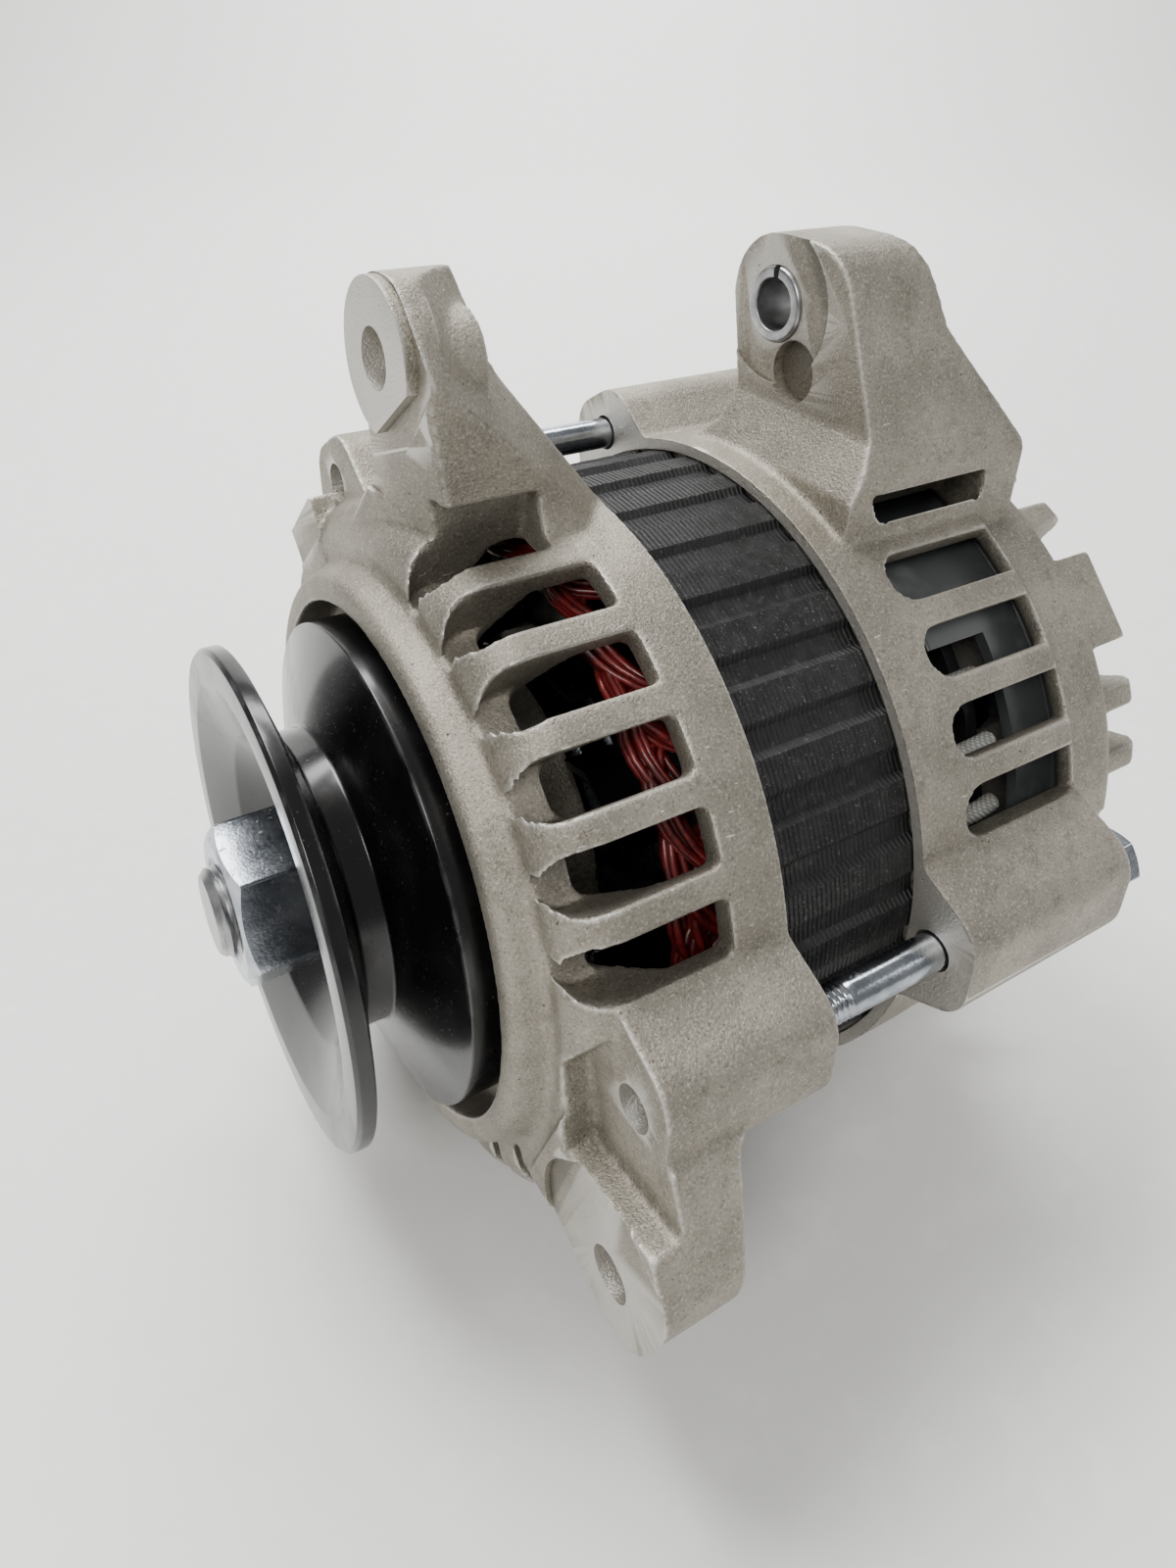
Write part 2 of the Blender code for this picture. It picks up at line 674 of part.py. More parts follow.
def hex_nut(name, flats, start, height, bore, chamfer, parent=HOUSING, centre=(0, 0), turn=0):
    """A hexagon nut with the corners of its outer end turned off."""
    corner = flats / 2 / cos(pi / 6)
    blank = turned([
        (start, 0),
        (start, corner - chamfer),
        (start + chamfer, corner + chamfer),
        (start + height, corner + chamfer),
        (start + height, 0),
    ])
    hexagon_mesh = flat([hexagon(flats)], start - OVERRUN, height + 2 * OVERRUN)
    hexagon_mesh.transform(Matrix.Rotation(turn, 4, "Z"))
    hole = rod(start - OVERRUN, height + 2 * OVERRUN, bore, steps=ROUND_STEPS)
    for mesh in (blank, hexagon_mesh, hole):
        mesh.transform(Matrix.Translation((*centre, 0)))
    nut = piece(name, hexagon_mesh, "zinc_steel", parent)
    keep_common(nut, cutter(name + "_blank", blank))
    cut(nut, cutter(name + "_bore", hole))


def make_pulley():
    groove_side = (GROOVE_WIDTH - GROOVE_FLOOR) / 2
    floor_radius = PULLEY_RADIUS - GROOVE_DEPTH
    groove_end = FRONT_EDGE + GROOVE_WIDTH
    bore = JOURNAL_RADIUS + GAP
    profile = [
        (DISH_DEPTH, bore),
        (DISH_DEPTH, DISH_FLOOR_RADIUS),
        (DISH_BREAK_DEPTH, DISH_BREAK_RADIUS),
        (0, DISH_RADIUS),
        (0, PULLEY_RADIUS - EDGE_CHAMFER),
        (EDGE_CHAMFER, PULLEY_RADIUS),
        (FRONT_EDGE, PULLEY_RADIUS),
        (FRONT_EDGE + groove_side, floor_radius),
        (FRONT_EDGE + groove_side + GROOVE_FLOOR, floor_radius),
        (groove_end, PULLEY_RADIUS),
        (PULLEY_WIDTH - EDGE_CHAMFER, PULLEY_RADIUS),
        (PULLEY_WIDTH, PULLEY_RADIUS - EDGE_CHAMFER),
        (PULLEY_WIDTH, PULLEY_RADIUS - PULLEY_WEB),
        (groove_end - groove_side + PULLEY_WEB, PULLEY_HUB_RADIUS),
        (PULLEY_WIDTH, PULLEY_HUB_RADIUS),
        (PULLEY_WIDTH, bore),
    ]
    piece("pulley", turned(profile, SHELL_STEPS), "black_steel", ROTOR)


def make_shaft():
    rear_bearing_end = REAR_BEARING_AT + REAR_BEARING_WIDTH
    core_at = RETAINER_AT
    core_end = ROTOR_END_AT + FAN_PLATE + 2 * GAP
    profile = [
        (-SHAFT_OVERHANG, 0),
        (-SHAFT_OVERHANG, THREAD_RADIUS - THREAD_CHAMFER),
        (THREAD_CHAMFER - SHAFT_OVERHANG, THREAD_RADIUS),
        (THREAD_LENGTH - SHAFT_OVERHANG, THREAD_RADIUS),
        (THREAD_LENGTH - SHAFT_OVERHANG, JOURNAL_RADIUS),
        (core_at, JOURNAL_RADIUS),
        (core_at, CORE_RADIUS),
        (core_end, CORE_RADIUS),
        (core_end, JOURNAL_RADIUS),
        (REAR_BEARING_AT - GAP, JOURNAL_RADIUS),
        (REAR_BEARING_AT - GAP, REAR_JOURNAL_RADIUS),
        (rear_bearing_end, REAR_JOURNAL_RADIUS),
        (rear_bearing_end, 0),
    ]
    piece("rotor_shaft", turned(profile), "bare_steel", ROTOR)


def make_pulley_fasteners():
    hex_nut(
        "pulley_nut", NUT_FLATS, NUT_BACK_AT - NUT_HEIGHT, NUT_HEIGHT, THREAD_RADIUS + GAP, NUT_CHAMFER,
        ROTOR, turn=NUT_TURN,
    )
    washer_at = DISH_DEPTH - GAP - LOCK_WASHER_THICKNESS
    bore = JOURNAL_RADIUS + GAP
    washer = piece(
        "pulley_lock_washer", ring(washer_at, LOCK_WASHER_THICKNESS, bore, LOCK_WASHER_RADIUS),
        "zinc_steel", ROTOR,
    )
    half = LOCK_WASHER_SPLIT / 2
    split = [(washer_at - OVERRUN, -half), (DISH_DEPTH + OVERRUN, -half)]
    split += [(DISH_DEPTH + OVERRUN, half), (washer_at - OVERRUN, half)]
    block = outward_block(split, bore - OVERRUN, LOCK_WASHER_RADIUS + OVERRUN, pi / 2)
    cut(washer, cutter("washer_split", block))
    spacer_at = PULLEY_WIDTH + GAP
    spacer = ring(spacer_at, FRONT_BEARING_AT - GAP - spacer_at, bore, SPACER_RADIUS)
    piece("pulley_spacer", spacer, "bare_steel", ROTOR)


def make_bearing(prefix, start, width, bore, inner_radius, outer_bore, outer_radius, ball, cage):
    """Outer ring in the housing, inner ring on the shaft and a cage of balls between them."""
    middle = start + width / 2
    pitch = (inner_radius + outer_bore) / 2
    race = ball + 2 * GAP

    def bearing_ring(mounted, track, floor):
        return turned([
            (start, mounted), (start, track), (middle - race, track), (middle, floor),
            (middle + race, track), (start + width, track), (start + width, mounted),
        ])

    piece(prefix + "_inner_ring", bearing_ring(bore, inner_radius, pitch - race), "bare_steel", ROTOR)
    piece(prefix + "_outer_ring", bearing_ring(outer_radius, outer_bore, pitch + race), "bare_steel")
    band = ball * CAGE_WIDTH_SHARE
    thickness = ball * CAGE_THICKNESS_SHARE
    rail = piece(
        prefix + "_ball_cage",
        ring(middle - band, 2 * band, pitch - thickness / 2, pitch + thickness / 2, BALL_COUNT),
        "bare_steel", cage,
    )
    shape = bmesh.new()
    for i in range(BALL_COUNT):
        x, y = polar(pitch, 2 * pi * i / BALL_COUNT)
        bmesh.ops.create_uvsphere(
            shape, u_segments=6, v_segments=4, radius=ball, matrix=Matrix.Translation((x, y, middle))
        )
    balls = bpy.data.meshes.new("balls")
    shape.to_mesh(balls)
    shape.free()
    join(rail, cutter(prefix + "_balls", balls))


def make_retainer():
    plate = ring(RETAINER_AT, RETAINER_THICKNESS, RETAINER_BORE, RETAINER_RADIUS)
    plate = piece("bearing_retainer", plate, "zinc_steel")
    holes = []
    head_at = RETAINER_AT + RETAINER_THICKNESS + GAP
    for index, angle in enumerate(BOLT_ANGLES):
        centre = polar(RETAINER_SCREW_CIRCLE, angle)
        holes.append(rod(RETAINER_AT - OVERRUN, 3 * OVERRUN, RETAINER_SCREW_RADIUS + GAP, centre))
        screw = turned([
            (head_at - RETAINER_SCREW_LENGTH, 0),
            (head_at - RETAINER_SCREW_LENGTH, RETAINER_SCREW_RADIUS),
            (head_at, RETAINER_SCREW_RADIUS),
            (head_at, RETAINER_HEAD_RADIUS),
            (head_at + RETAINER_HEAD_HEIGHT, RETAINER_HEAD_RADIUS),
            (head_at + RETAINER_HEAD_HEIGHT, 0),
        ], SMALL_STEPS)
        screw.transform(Matrix.Translation((*centre, 0)))
        piece("retainer_screw_" + str(index + 1), screw, "zinc_steel")
    cut(plate, cutter("retainer_holes", merged(holes)))


def slot_outline(start, length):
    half = SLOT_WIDTH / 2
    round_end = half - WELD
    return rounded([
        (start, -half, round_end),
        (start + length, -half),
        (start + length, half),
        (start, half, round_end),
    ])


def near(angle, places, reach):
    return any(abs((angle - place + pi) % (2 * pi) - pi) < reach for place in places)


def boss_block(start, length):
    corners = [
        (-BOSS_FOOT, BOLT_CIRCLE_RADIUS - BOSS_SINK),
        (BOSS_FOOT, BOLT_CIRCLE_RADIUS - BOSS_SINK),
        (BOSS_RADIUS, BOLT_CIRCLE_RADIUS + BOSS_RADIUS, BOSS_RADIUS - GAP),
        (-BOSS_RADIUS, BOLT_CIRCLE_RADIUS + BOSS_RADIUS, BOSS_RADIUS - GAP),
    ]
    blocks = [flat([rounded(corners)], start, length, facing(angle)) for angle in BOLT_ANGLES]
    return merged(blocks)


def bolt_holes(start, length):
    rods = [rod(start, length, BOLT_HOLE_RADIUS, polar(BOLT_CIRCLE_RADIUS, angle)) for angle in BOLT_ANGLES]
    return merged(rods)


def slot_cutters(name, start, length, floor, skipped):
    """All cooling slots of a bracket in one cutter, without those where an ear stands."""
    outline = slot_outline(start, length)
    blocks = []
    for angle in SLOT_ANGLES:
        if not any(near(angle, [place], reach) for place, reach in skipped):
            blocks.append(outward_block(outline, floor, RIM_RADIUS + OVERRUN, angle))
    return cutter(name, merged(blocks))


def make_front_bracket():
    form = rounded([
        (COLLAR_FRONT_AT, 0),
        (COLLAR_FRONT_AT, COLLAR_LIP_RADIUS, COLLAR_ROUND),
        (COLLAR_FRONT_AT + VALLEY_DEPTH, VALLEY_RADIUS),
        (COLLAR_FRONT_AT + BROW_DEPTH, BROW_RADIUS),
        (COLLAR_FRONT_AT + DOME_DEPTH, RIM_RADIUS, DOME_ROUND),
        (FRONT_RIM_AT, RIM_RADIUS),
        (FRONT_RIM_AT, 0),
    ])
    bracket = piece("front_bracket", turned(form, SHELL_STEPS), "cast_aluminium")

    boss_at = FRONT_RIM_AT - FRONT_BOSS_LENGTH
    join(bracket, cutter("front_bosses", boss_block(boss_at, FRONT_BOSS_LENGTH)))

    face = flat([rounded([
        (EAR_FAR_SIDE, PIVOT_RISE + EAR_TIP, EAR_TIP_ROUND),
        (-EAR_NEAR_SIDE, PIVOT_RISE + EAR_TIP, EAR_TIP_ROUND),
        (-EAR_NEAR_SIDE, PIVOT_RISE - EAR_ROOT_DROP),
        (-EAR_ROOT_SPREAD, PIVOT_RISE - EAR_FOOT_DROP),
        (EAR_ROOT_SPREAD, PIVOT_RISE - EAR_FOOT_DROP),
        (EAR_WAIST, PIVOT_RISE - EAR_ROOT_DROP),
        (EAR_WAIST, PIVOT_RISE - EAR_WAIST_DROP, EAR_WAIST),
        (EAR_FAR_SIDE, PIVOT_RISE),
    ])], COLLAR_FRONT_AT, FRONT_BRACKET_LENGTH, facing(PIVOT_ANGLE))
    cast_face = EAR_FACE_AT + EAR_SPOT_HEIGHT
    back = EAR_FACE_AT + EAR_THICKNESS
    side = flat([rounded([
        (cast_face, PIVOT_RISE + EAR_TIP + OVERRUN),
        (back, PIVOT_RISE + EAR_TIP + OVERRUN, EAR_BACK_ROUND),
        (back + EAR_BACK_BULGE, PIVOT_RISE - EAR_BACK_DROP, EAR_BACK_ROUND),
        (FRONT_RIM_AT, RIM_RADIUS),
        (FRONT_RIM_AT, PIVOT_RISE - EAR_FOOT_DROP),
        (COLLAR_FRONT_AT + EAR_FRONT_FOOT, PIVOT_RISE - EAR_FOOT_DROP),
        (cast_face, PIVOT_RISE - EAR_KNEE_DROP),
    ])], -2 * EAR_ROOT_SPREAD, 4 * EAR_ROOT_SPREAD, lengthwise(PIVOT_ANGLE))
    ear = keep_common(cutter("front_pivot_ear", face), cutter("front_pivot_ear_side", side))
    pivot = (0, PIVOT_RISE)
    spot = cutter("front_ear_spot_face", rod(EAR_FACE_AT, EAR_THICKNESS / 2, EAR_SPOT_RADIUS, pivot, ROUND_STEPS))
    join(bracket, ear, spot)

    face = flat([rounded([
        (-ADJUST_SIDE, ADJUST_RISE + ADJUST_TIP, ADJUST_TIP_ROUND),
        (-ADJUST_SIDE, ADJUST_RISE - ADJUST_FOOT_DROP),
        (ADJUST_WEB_SPREAD, ADJUST_RISE - ADJUST_FOOT_DROP),
        (ADJUST_WEB_SPREAD, ADJUST_RISE - ADJUST_WEB_DROP),
        (ADJUST_SIDE, ADJUST_RISE + ADJUST_TIP, ADJUST_TIP_ROUND),
    ])], COLLAR_FRONT_AT, FRONT_BRACKET_LENGTH, facing(ADJUST_ANGLE))
    back = EAR_FACE_AT + ADJUST_THICKNESS
    side = flat([rounded([
        (EAR_FACE_AT, ADJUST_RISE + ADJUST_TIP + OVERRUN),
        (back, ADJUST_RISE + ADJUST_TIP + OVERRUN, EAR_BACK_ROUND),
        (back + EAR_BACK_BULGE, ADJUST_RISE - ADJUST_WEB_DROP, EAR_BACK_ROUND),
        (FRONT_RIM_AT, RIM_RADIUS),
        (FRONT_RIM_AT, ADJUST_RISE - ADJUST_FOOT_DROP),
        (COLLAR_FRONT_AT + EAR_FRONT_FOOT, ADJUST_RISE - ADJUST_FOOT_DROP),
        (EAR_FACE_AT, ADJUST_RISE - EAR_FAR_SIDE),
    ])], -2 * ADJUST_WEB_SPREAD, 4 * ADJUST_WEB_SPREAD, lengthwise(ADJUST_ANGLE))
    ear = keep_common(cutter("adjusting_ear", face), cutter("adjusting_ear_side", side))
    join(bracket, ear)

    seat = FRONT_BEARING_RADIUS + GAP
    inside = RIM_RADIUS - WALL
    hollow = turned([
        (COLLAR_FRONT_AT - OVERRUN, 0),
        (COLLAR_FRONT_AT - OVERRUN, COLLAR_BORE),
        (WALL_FRONT_AT, COLLAR_BORE),
        (WALL_FRONT_AT, FRONT_HUB_BORE),
        (WALL_BACK_AT, FRONT_HUB_BORE),
        (WALL_BACK_AT, seat),
        (RETAINER_AT - GAP, seat),
        (RETAINER_AT - GAP, FRONT_HUB_RADIUS),
        (WALL_BACK_AT, FRONT_HUB_RADIUS),
        (WALL_BACK_AT, INNER_CORNER_RADIUS),
        (WALL_BACK_AT + INNER_CHAMFER, inside),
        (FRONT_RIM_AT - REGISTER_DEPTH, inside),
        (FRONT_RIM_AT - REGISTER_DEPTH, STACK_RADIUS + GAP),
        (FRONT_RIM_AT + OVERRUN, STACK_RADIUS + GAP),
        (FRONT_RIM_AT + OVERRUN, 0),
    ], SHELL_STEPS)
    slot_at = FRONT_RIM_AT - FRONT_BAND - FRONT_SLOT_LENGTH
    skipped = [(PIVOT_ANGLE, PIVOT_CLEAR_ANGLE), (ADJUST_ANGLE, ADJUST_CLEAR_ANGLE)]
    slots = slot_cutters("front_slots", slot_at, FRONT_SLOT_LENGTH, SLOT_FLOOR_RADIUS, skipped)
    cut(bracket, cutter("front_hollow", hollow), slots)

    holes = [bolt_holes(boss_at - OVERRUN, FRONT_BOSS_LENGTH + 2 * OVERRUN)]
    holes.append(rod(EAR_FACE_AT - OVERRUN, FRONT_BRACKET_LENGTH, PIVOT_HOLE_RADIUS, pivot, 2 * SMALL_STEPS))
    adjust = polar(ADJUST_RISE, ADJUST_ANGLE)
    holes.append(rod(EAR_FACE_AT - OVERRUN, FRONT_BRACKET_LENGTH, ADJUST_HOLE_RADIUS, adjust, 2 * SMALL_STEPS))
    for angle in BOLT_ANGLES:
        centre = polar(RETAINER_SCREW_CIRCLE, angle)
        depth = RETAINER_SCREW_LENGTH
        holes.append(rod(RETAINER_AT - depth, depth + OVERRUN, RETAINER_SCREW_RADIUS + GAP, centre))
    cut(bracket, cutter("front_holes", merged(holes)))


def back_places(angles):
    """The angles that stay clear of the output stud and of the socket in the back wall."""
    taken = [(STUD_ANGLE, STUD_CLEAR_ANGLE), (BRUSH_ANGLE, SOCKET_CLEAR_ANGLE)]
    return [angle for angle in angles if not any(near(angle, [place], reach) for place, reach in taken)]


def make_rear_bracket():
    shoulder_at = REAR_RIM_AT + REAR_SHOULDER_LENGTH
    bar_end = REAR_RIM_AT + BAR_END
    form = rounded([
        (REAR_RIM_AT, 0),
        (REAR_RIM_AT, RIM_RADIUS),
        (bar_end, RIM_RADIUS, BAR_END_ROUND),
        (bar_end + REAR_STEP_LENGTH, REAR_SHOULDER_RADIUS),
        (shoulder_at, REAR_SHOULDER_RADIUS, REAR_SHOULDER_ROUND),
        (BACK_FACE_AT, REAR_FACE_RADIUS),
        (BACK_FACE_AT, 0),
    ])
    bracket = piece("rear_bracket", turned(form, SHELL_STEPS), "cast_aluminium")
    join(bracket, cutter("rear_bosses", boss_block(REAR_RIM_AT, REAR_BOSS_LENGTH)))

    toe = REAR_EAR_FACE_AT - REAR_EAR_TOE
    heel = REAR_EAR_FACE_AT + REAR_EAR_THICKNESS + REAR_EAR_HEEL
    face = flat([rounded([
        (EAR_FAR_SIDE, PIVOT_RISE + EAR_TIP, EAR_TIP_ROUND),
        (-REAR_EAR_NEAR_SIDE, PIVOT_RISE + EAR_TIP, EAR_TIP_ROUND),
        (-REAR_EAR_ROOT_SPREAD, PIVOT_RISE - EAR_ROOT_DROP),
        (-REAR_EAR_ROOT_SPREAD, PIVOT_RISE - EAR_FOOT_DROP),
        (EAR_ROOT_SPREAD, PIVOT_RISE - EAR_FOOT_DROP),
        (EAR_WAIST, PIVOT_RISE - EAR_ROOT_DROP),
        (EAR_WAIST, PIVOT_RISE - EAR_WAIST_DROP, EAR_WAIST),
        (EAR_FAR_SIDE, PIVOT_RISE),
    ])], toe, heel - toe, facing(PIVOT_ANGLE))
    back = REAR_EAR_FACE_AT + REAR_EAR_THICKNESS
    side = flat([rounded([
        (REAR_EAR_FACE_AT, PIVOT_RISE + EAR_TIP + OVERRUN),
        (back, PIVOT_RISE + EAR_TIP + OVERRUN, EAR_BACK_ROUND),
        (back + EAR_BACK_BULGE, PIVOT_RISE - EAR_BACK_DROP, EAR_BACK_ROUND),
        (heel, PIVOT_RISE - EAR_ROOT_DROP, EAR_BACK_ROUND),
        (heel, PIVOT_RISE - EAR_FOOT_DROP),
        (toe, PIVOT_RISE - EAR_FOOT_DROP),
        (toe, RIM_RADIUS),
        (REAR_EAR_FACE_AT, PIVOT_RISE - EAR_WAIST_DROP),
    ])], -2 * REAR_EAR_ROOT_SPREAD, 4 * REAR_EAR_ROOT_SPREAD, lengthwise(PIVOT_ANGLE))
    ear = keep_common(cutter("rear_pivot_ear", face), cutter("rear_pivot_ear_side", side))
    join(bracket, ear)

    fin = flat([rounded([
        (BACK_FACE_AT - OVERRUN, FIN_INNER_RADIUS),
        (BACK_FACE_AT + FIN_HEIGHT / 2, FIN_INNER_RADIUS),
        (BACK_FACE_AT + FIN_HEIGHT, FIN_OUTER_RADIUS, FIN_ROUND),
        (BACK_FACE_AT - OVERRUN, FIN_OUTER_RADIUS),
    ])], -FIN_THICKNESS / 2, FIN_THICKNESS, lengthwise(0))
    fin_angles = []
    tab_angles = []
    for bolt in BOLT_ANGLES:
        first = bolt + FIRST_SLOT_OFFSET - SLOT_PITCH / 2
        fin_angles += [first + SLOT_PITCH * i for i in FIN_PLACES]
        tab_angles.append(first + SLOT_PITCH * TAB_PLACE)
    fin_angles = back_places(fin_angles)
    tab_angles = back_places(tab_angles)
    tab_width = SLOT_PITCH * FIN_OUTER_RADIUS + FIN_THICKNESS
    tab = flat([rounded([
        (BACK_FACE_AT - OVERRUN, TAB_INNER_RADIUS),
        (BACK_FACE_AT + FIN_HEIGHT, TAB_INNER_RADIUS),
        (BACK_FACE_AT + FIN_HEIGHT, FIN_OUTER_RADIUS, FIN_ROUND),
        (BACK_FACE_AT - OVERRUN, FIN_OUTER_RADIUS),
    ])], -tab_width / 2, tab_width, lengthwise(0))
    join(bracket, cutter("back_fins", spun(fin, fin_angles)), cutter("back_tabs", spun(tab, tab_angles)))

    inside = RIM_RADIUS - WALL
    deep = REAR_SHOULDER_RADIUS - WALL
    wall_at = WALL_INSIDE_AT
    seat = REAR_BEARING_RADIUS + GAP
    slot_end = REAR_RIM_AT + REAR_BAND + REAR_SLOT_LENGTH
    hollow = turned([
        (REAR_RIM_AT - OVERRUN, 0),
        (REAR_RIM_AT - OVERRUN, STACK_RADIUS + GAP),
        (REAR_RIM_AT + REGISTER_DEPTH, STACK_RADIUS + GAP),
        (REAR_RIM_AT + REGISTER_DEPTH, inside),
        (slot_end, inside),
        (slot_end + INNER_BREAK, deep),
        (wall_at - INNER_BREAK, deep),
        (wall_at, deep - 2 * INNER_BREAK),
        (wall_at, REAR_HUB_RADIUS),
        (REAR_HUB_AT, REAR_HUB_RADIUS),
        (REAR_HUB_AT, seat),
        (REAR_BEARING_AT + REAR_BEARING_WIDTH + GAP, seat),
        (REAR_BEARING_AT + REAR_BEARING_WIDTH + GAP, 0),
    ], SHELL_STEPS)
    skipped = [(PIVOT_ANGLE, PIVOT_CLEAR_ANGLE)]
    slots = slot_cutters(
        "rear_slots", REAR_RIM_AT + REAR_BAND, REAR_SLOT_LENGTH, REAR_SLOT_FLOOR, skipped
    )
    half = INLET_WIDTH / 2
    inlet = rectangle(-half, half, INLET_INNER_RADIUS, INLET_OUTER_RADIUS)
    inlets = flat([inlet], wall_at - OVERRUN, BACK_WALL + 2 * OVERRUN, facing(0))
    open_angles = [angle for angle in SLOT_ANGLES if not near(angle, tab_angles, SLOT_PITCH / 3)]
    inlets = cutter("back_inlets", spun(inlets, back_places(open_angles)))
    cut(bracket, cutter("rear_hollow", hollow), slots, inlets)
    window = rectangle(
        -SOCKET_HALF_WIDTH - GAP, SOCKET_HALF_WIDTH + GAP, SOCKET_INNER - GAP, SOCKET_OUTER + GAP
    )
    window = flat([window], wall_at - OVERRUN, BACK_WALL + 2 * OVERRUN, facing(BRUSH_ANGLE))
    stud = rod(
        wall_at - OVERRUN, BACK_WALL + 2 * OVERRUN, INSULATOR_RADIUS + GAP,
        polar(POSITIVE_DIODE_CIRCLE, STUD_ANGLE), ROUND_STEPS,
    )
    cut(bracket, cutter("back_openings", merged([window, stud])))

    pivot = (0, PIVOT_RISE)
    holes = [bolt_holes(REAR_RIM_AT - OVERRUN, REAR_BOSS_LENGTH + 2 * OVERRUN)]
    holes.append(rod(toe, heel - toe + OVERRUN, BUSH_RADIUS + GAP, pivot, ROUND_STEPS))
    cut(bracket, cutter("rear_holes", merged(holes)))
    seat_at = REAR_RIM_AT + REAR_BOSS_LENGTH
    spots = []
    for angle in BOLT_ANGLES:
        centre = polar(BOLT_CIRCLE_RADIUS, angle)
        spots.append(rod(seat_at, BACK_FACE_AT - seat_at + OVERRUN, BOLT_SPOT_RADIUS, centre, ROUND_STEPS))
    cut(bracket, cutter("bolt_spot_faces", merged(spots)))

    length = REAR_EAR_THICKNESS + BUSH_PROUD
    bush = piece(
        "pivot_bush", ring(REAR_EAR_FACE_AT - BUSH_PROUD, length, BUSH_BORE, BUSH_RADIUS, 24), "zinc_steel"
    )
    bush.data.transform(Matrix.Translation((0, PIVOT_RISE, 0)))
    half = BUSH_SPLIT / 2
    split = [(-half, PIVOT_RISE), (half, PIVOT_RISE), (half, PIVOT_RISE - BUSH_RADIUS - OVERRUN)]
    split += [(-half, PIVOT_RISE - BUSH_RADIUS - OVERRUN)]
    block = flat([split], REAR_EAR_FACE_AT - OVERRUN, length + 2 * OVERRUN)
    cut(bush, cutter("bush_split", block))


def make_through_bolts():
    front_at = FRONT_RIM_AT - FRONT_BOSS_LENGTH
    seat_at = REAR_RIM_AT + REAR_BOSS_LENGTH + GAP
    head_at = seat_at + BOLT_WASHER_THICKNESS + GAP
    for index, angle in enumerate(BOLT_ANGLES):
        number = str(index + 1)
        centre = polar(BOLT_CIRCLE_RADIUS, angle)
        place = Matrix.Translation((*centre, 0))
        washer = ring(seat_at, BOLT_WASHER_THICKNESS, BOLT_HOLE_RADIUS, BOLT_WASHER_RADIUS, 2 * SMALL_STEPS)
        washer.transform(place)
        piece("bolt_washer_" + number, washer, "zinc_steel")
        shank = rod(front_at + GAP, head_at - front_at, BOLT_RADIUS, centre)
        head = flat([hexagon(BOLT_HEAD_FLATS)], head_at, BOLT_HEAD_HEIGHT, place)
        join(piece("through_bolt_" + number, shank, "zinc_steel"), cutter("bolt_head_" + number, head))


def make_stator_core():
    pitch = 2 * pi / STACK_SLOTS
    groove = STACK_GROOVE_WIDTH / 2 / STACK_RADIUS
    floor = STACK_RADIUS - STACK_GROOVE_DEPTH
    mouth = SLOT_BREADTH / 2 / STACK_BORE
    foot = SLOT_BREADTH / 2 / SLOT_BOTTOM_RADIUS
    outer = []
    inner = []
    for i in range(STACK_SLOTS):
        middle = pitch * i
        outer += [polar(STACK_RADIUS, middle - groove), polar(floor, middle - groove)]
        outer += [polar(floor, middle + groove), polar(STACK_RADIUS, middle + groove)]
        inner += [polar(STACK_BORE, middle - mouth), polar(SLOT_BOTTOM_RADIUS, middle - foot)]
        inner += [polar(SLOT_BOTTOM_RADIUS, middle + foot), polar(STACK_BORE, middle + mouth)]
    piece("stator_core", flat([outer, inner], STACK_AT, STACK_LENGTH), "lamination")


def make_winding():
    """End turns on both sides of the stack, joined by the bars that lie in its slots."""
    pitch = 2 * pi / STACK_SLOTS
    outline = []
    for i in range(STACK_SLOTS):
        outline.append(polar(TURNS_OUTER_RADIUS, pitch * i))
    hole = circle(TURNS_INNER_RADIUS, STACK_SLOTS)
    front_at = STACK_AT - GAP - TURNS_LENGTH
    rear_at = STACK_AT + STACK_LENGTH + GAP
    winding = piece("stator_winding", flat([outline, hole], front_at, TURNS_LENGTH), "enamelled_wire")
    rear = cutter("rear_end_turns", flat([outline, hole], rear_at, TURNS_LENGTH))
    half = SLOT_BREADTH / 2 - GAP
    bar = rectangle(-half, half, TURNS_INNER_RADIUS + GAP, SLOT_BOTTOM_RADIUS - 2 * GAP)
    bars = flat([bar], STACK_AT - OVERRUN, STACK_LENGTH + 2 * OVERRUN, facing(0))
    bars = cutter("slot_bars", spun(bars, [pitch * i for i in range(STACK_SLOTS)]))
    join(winding, bars, rear)


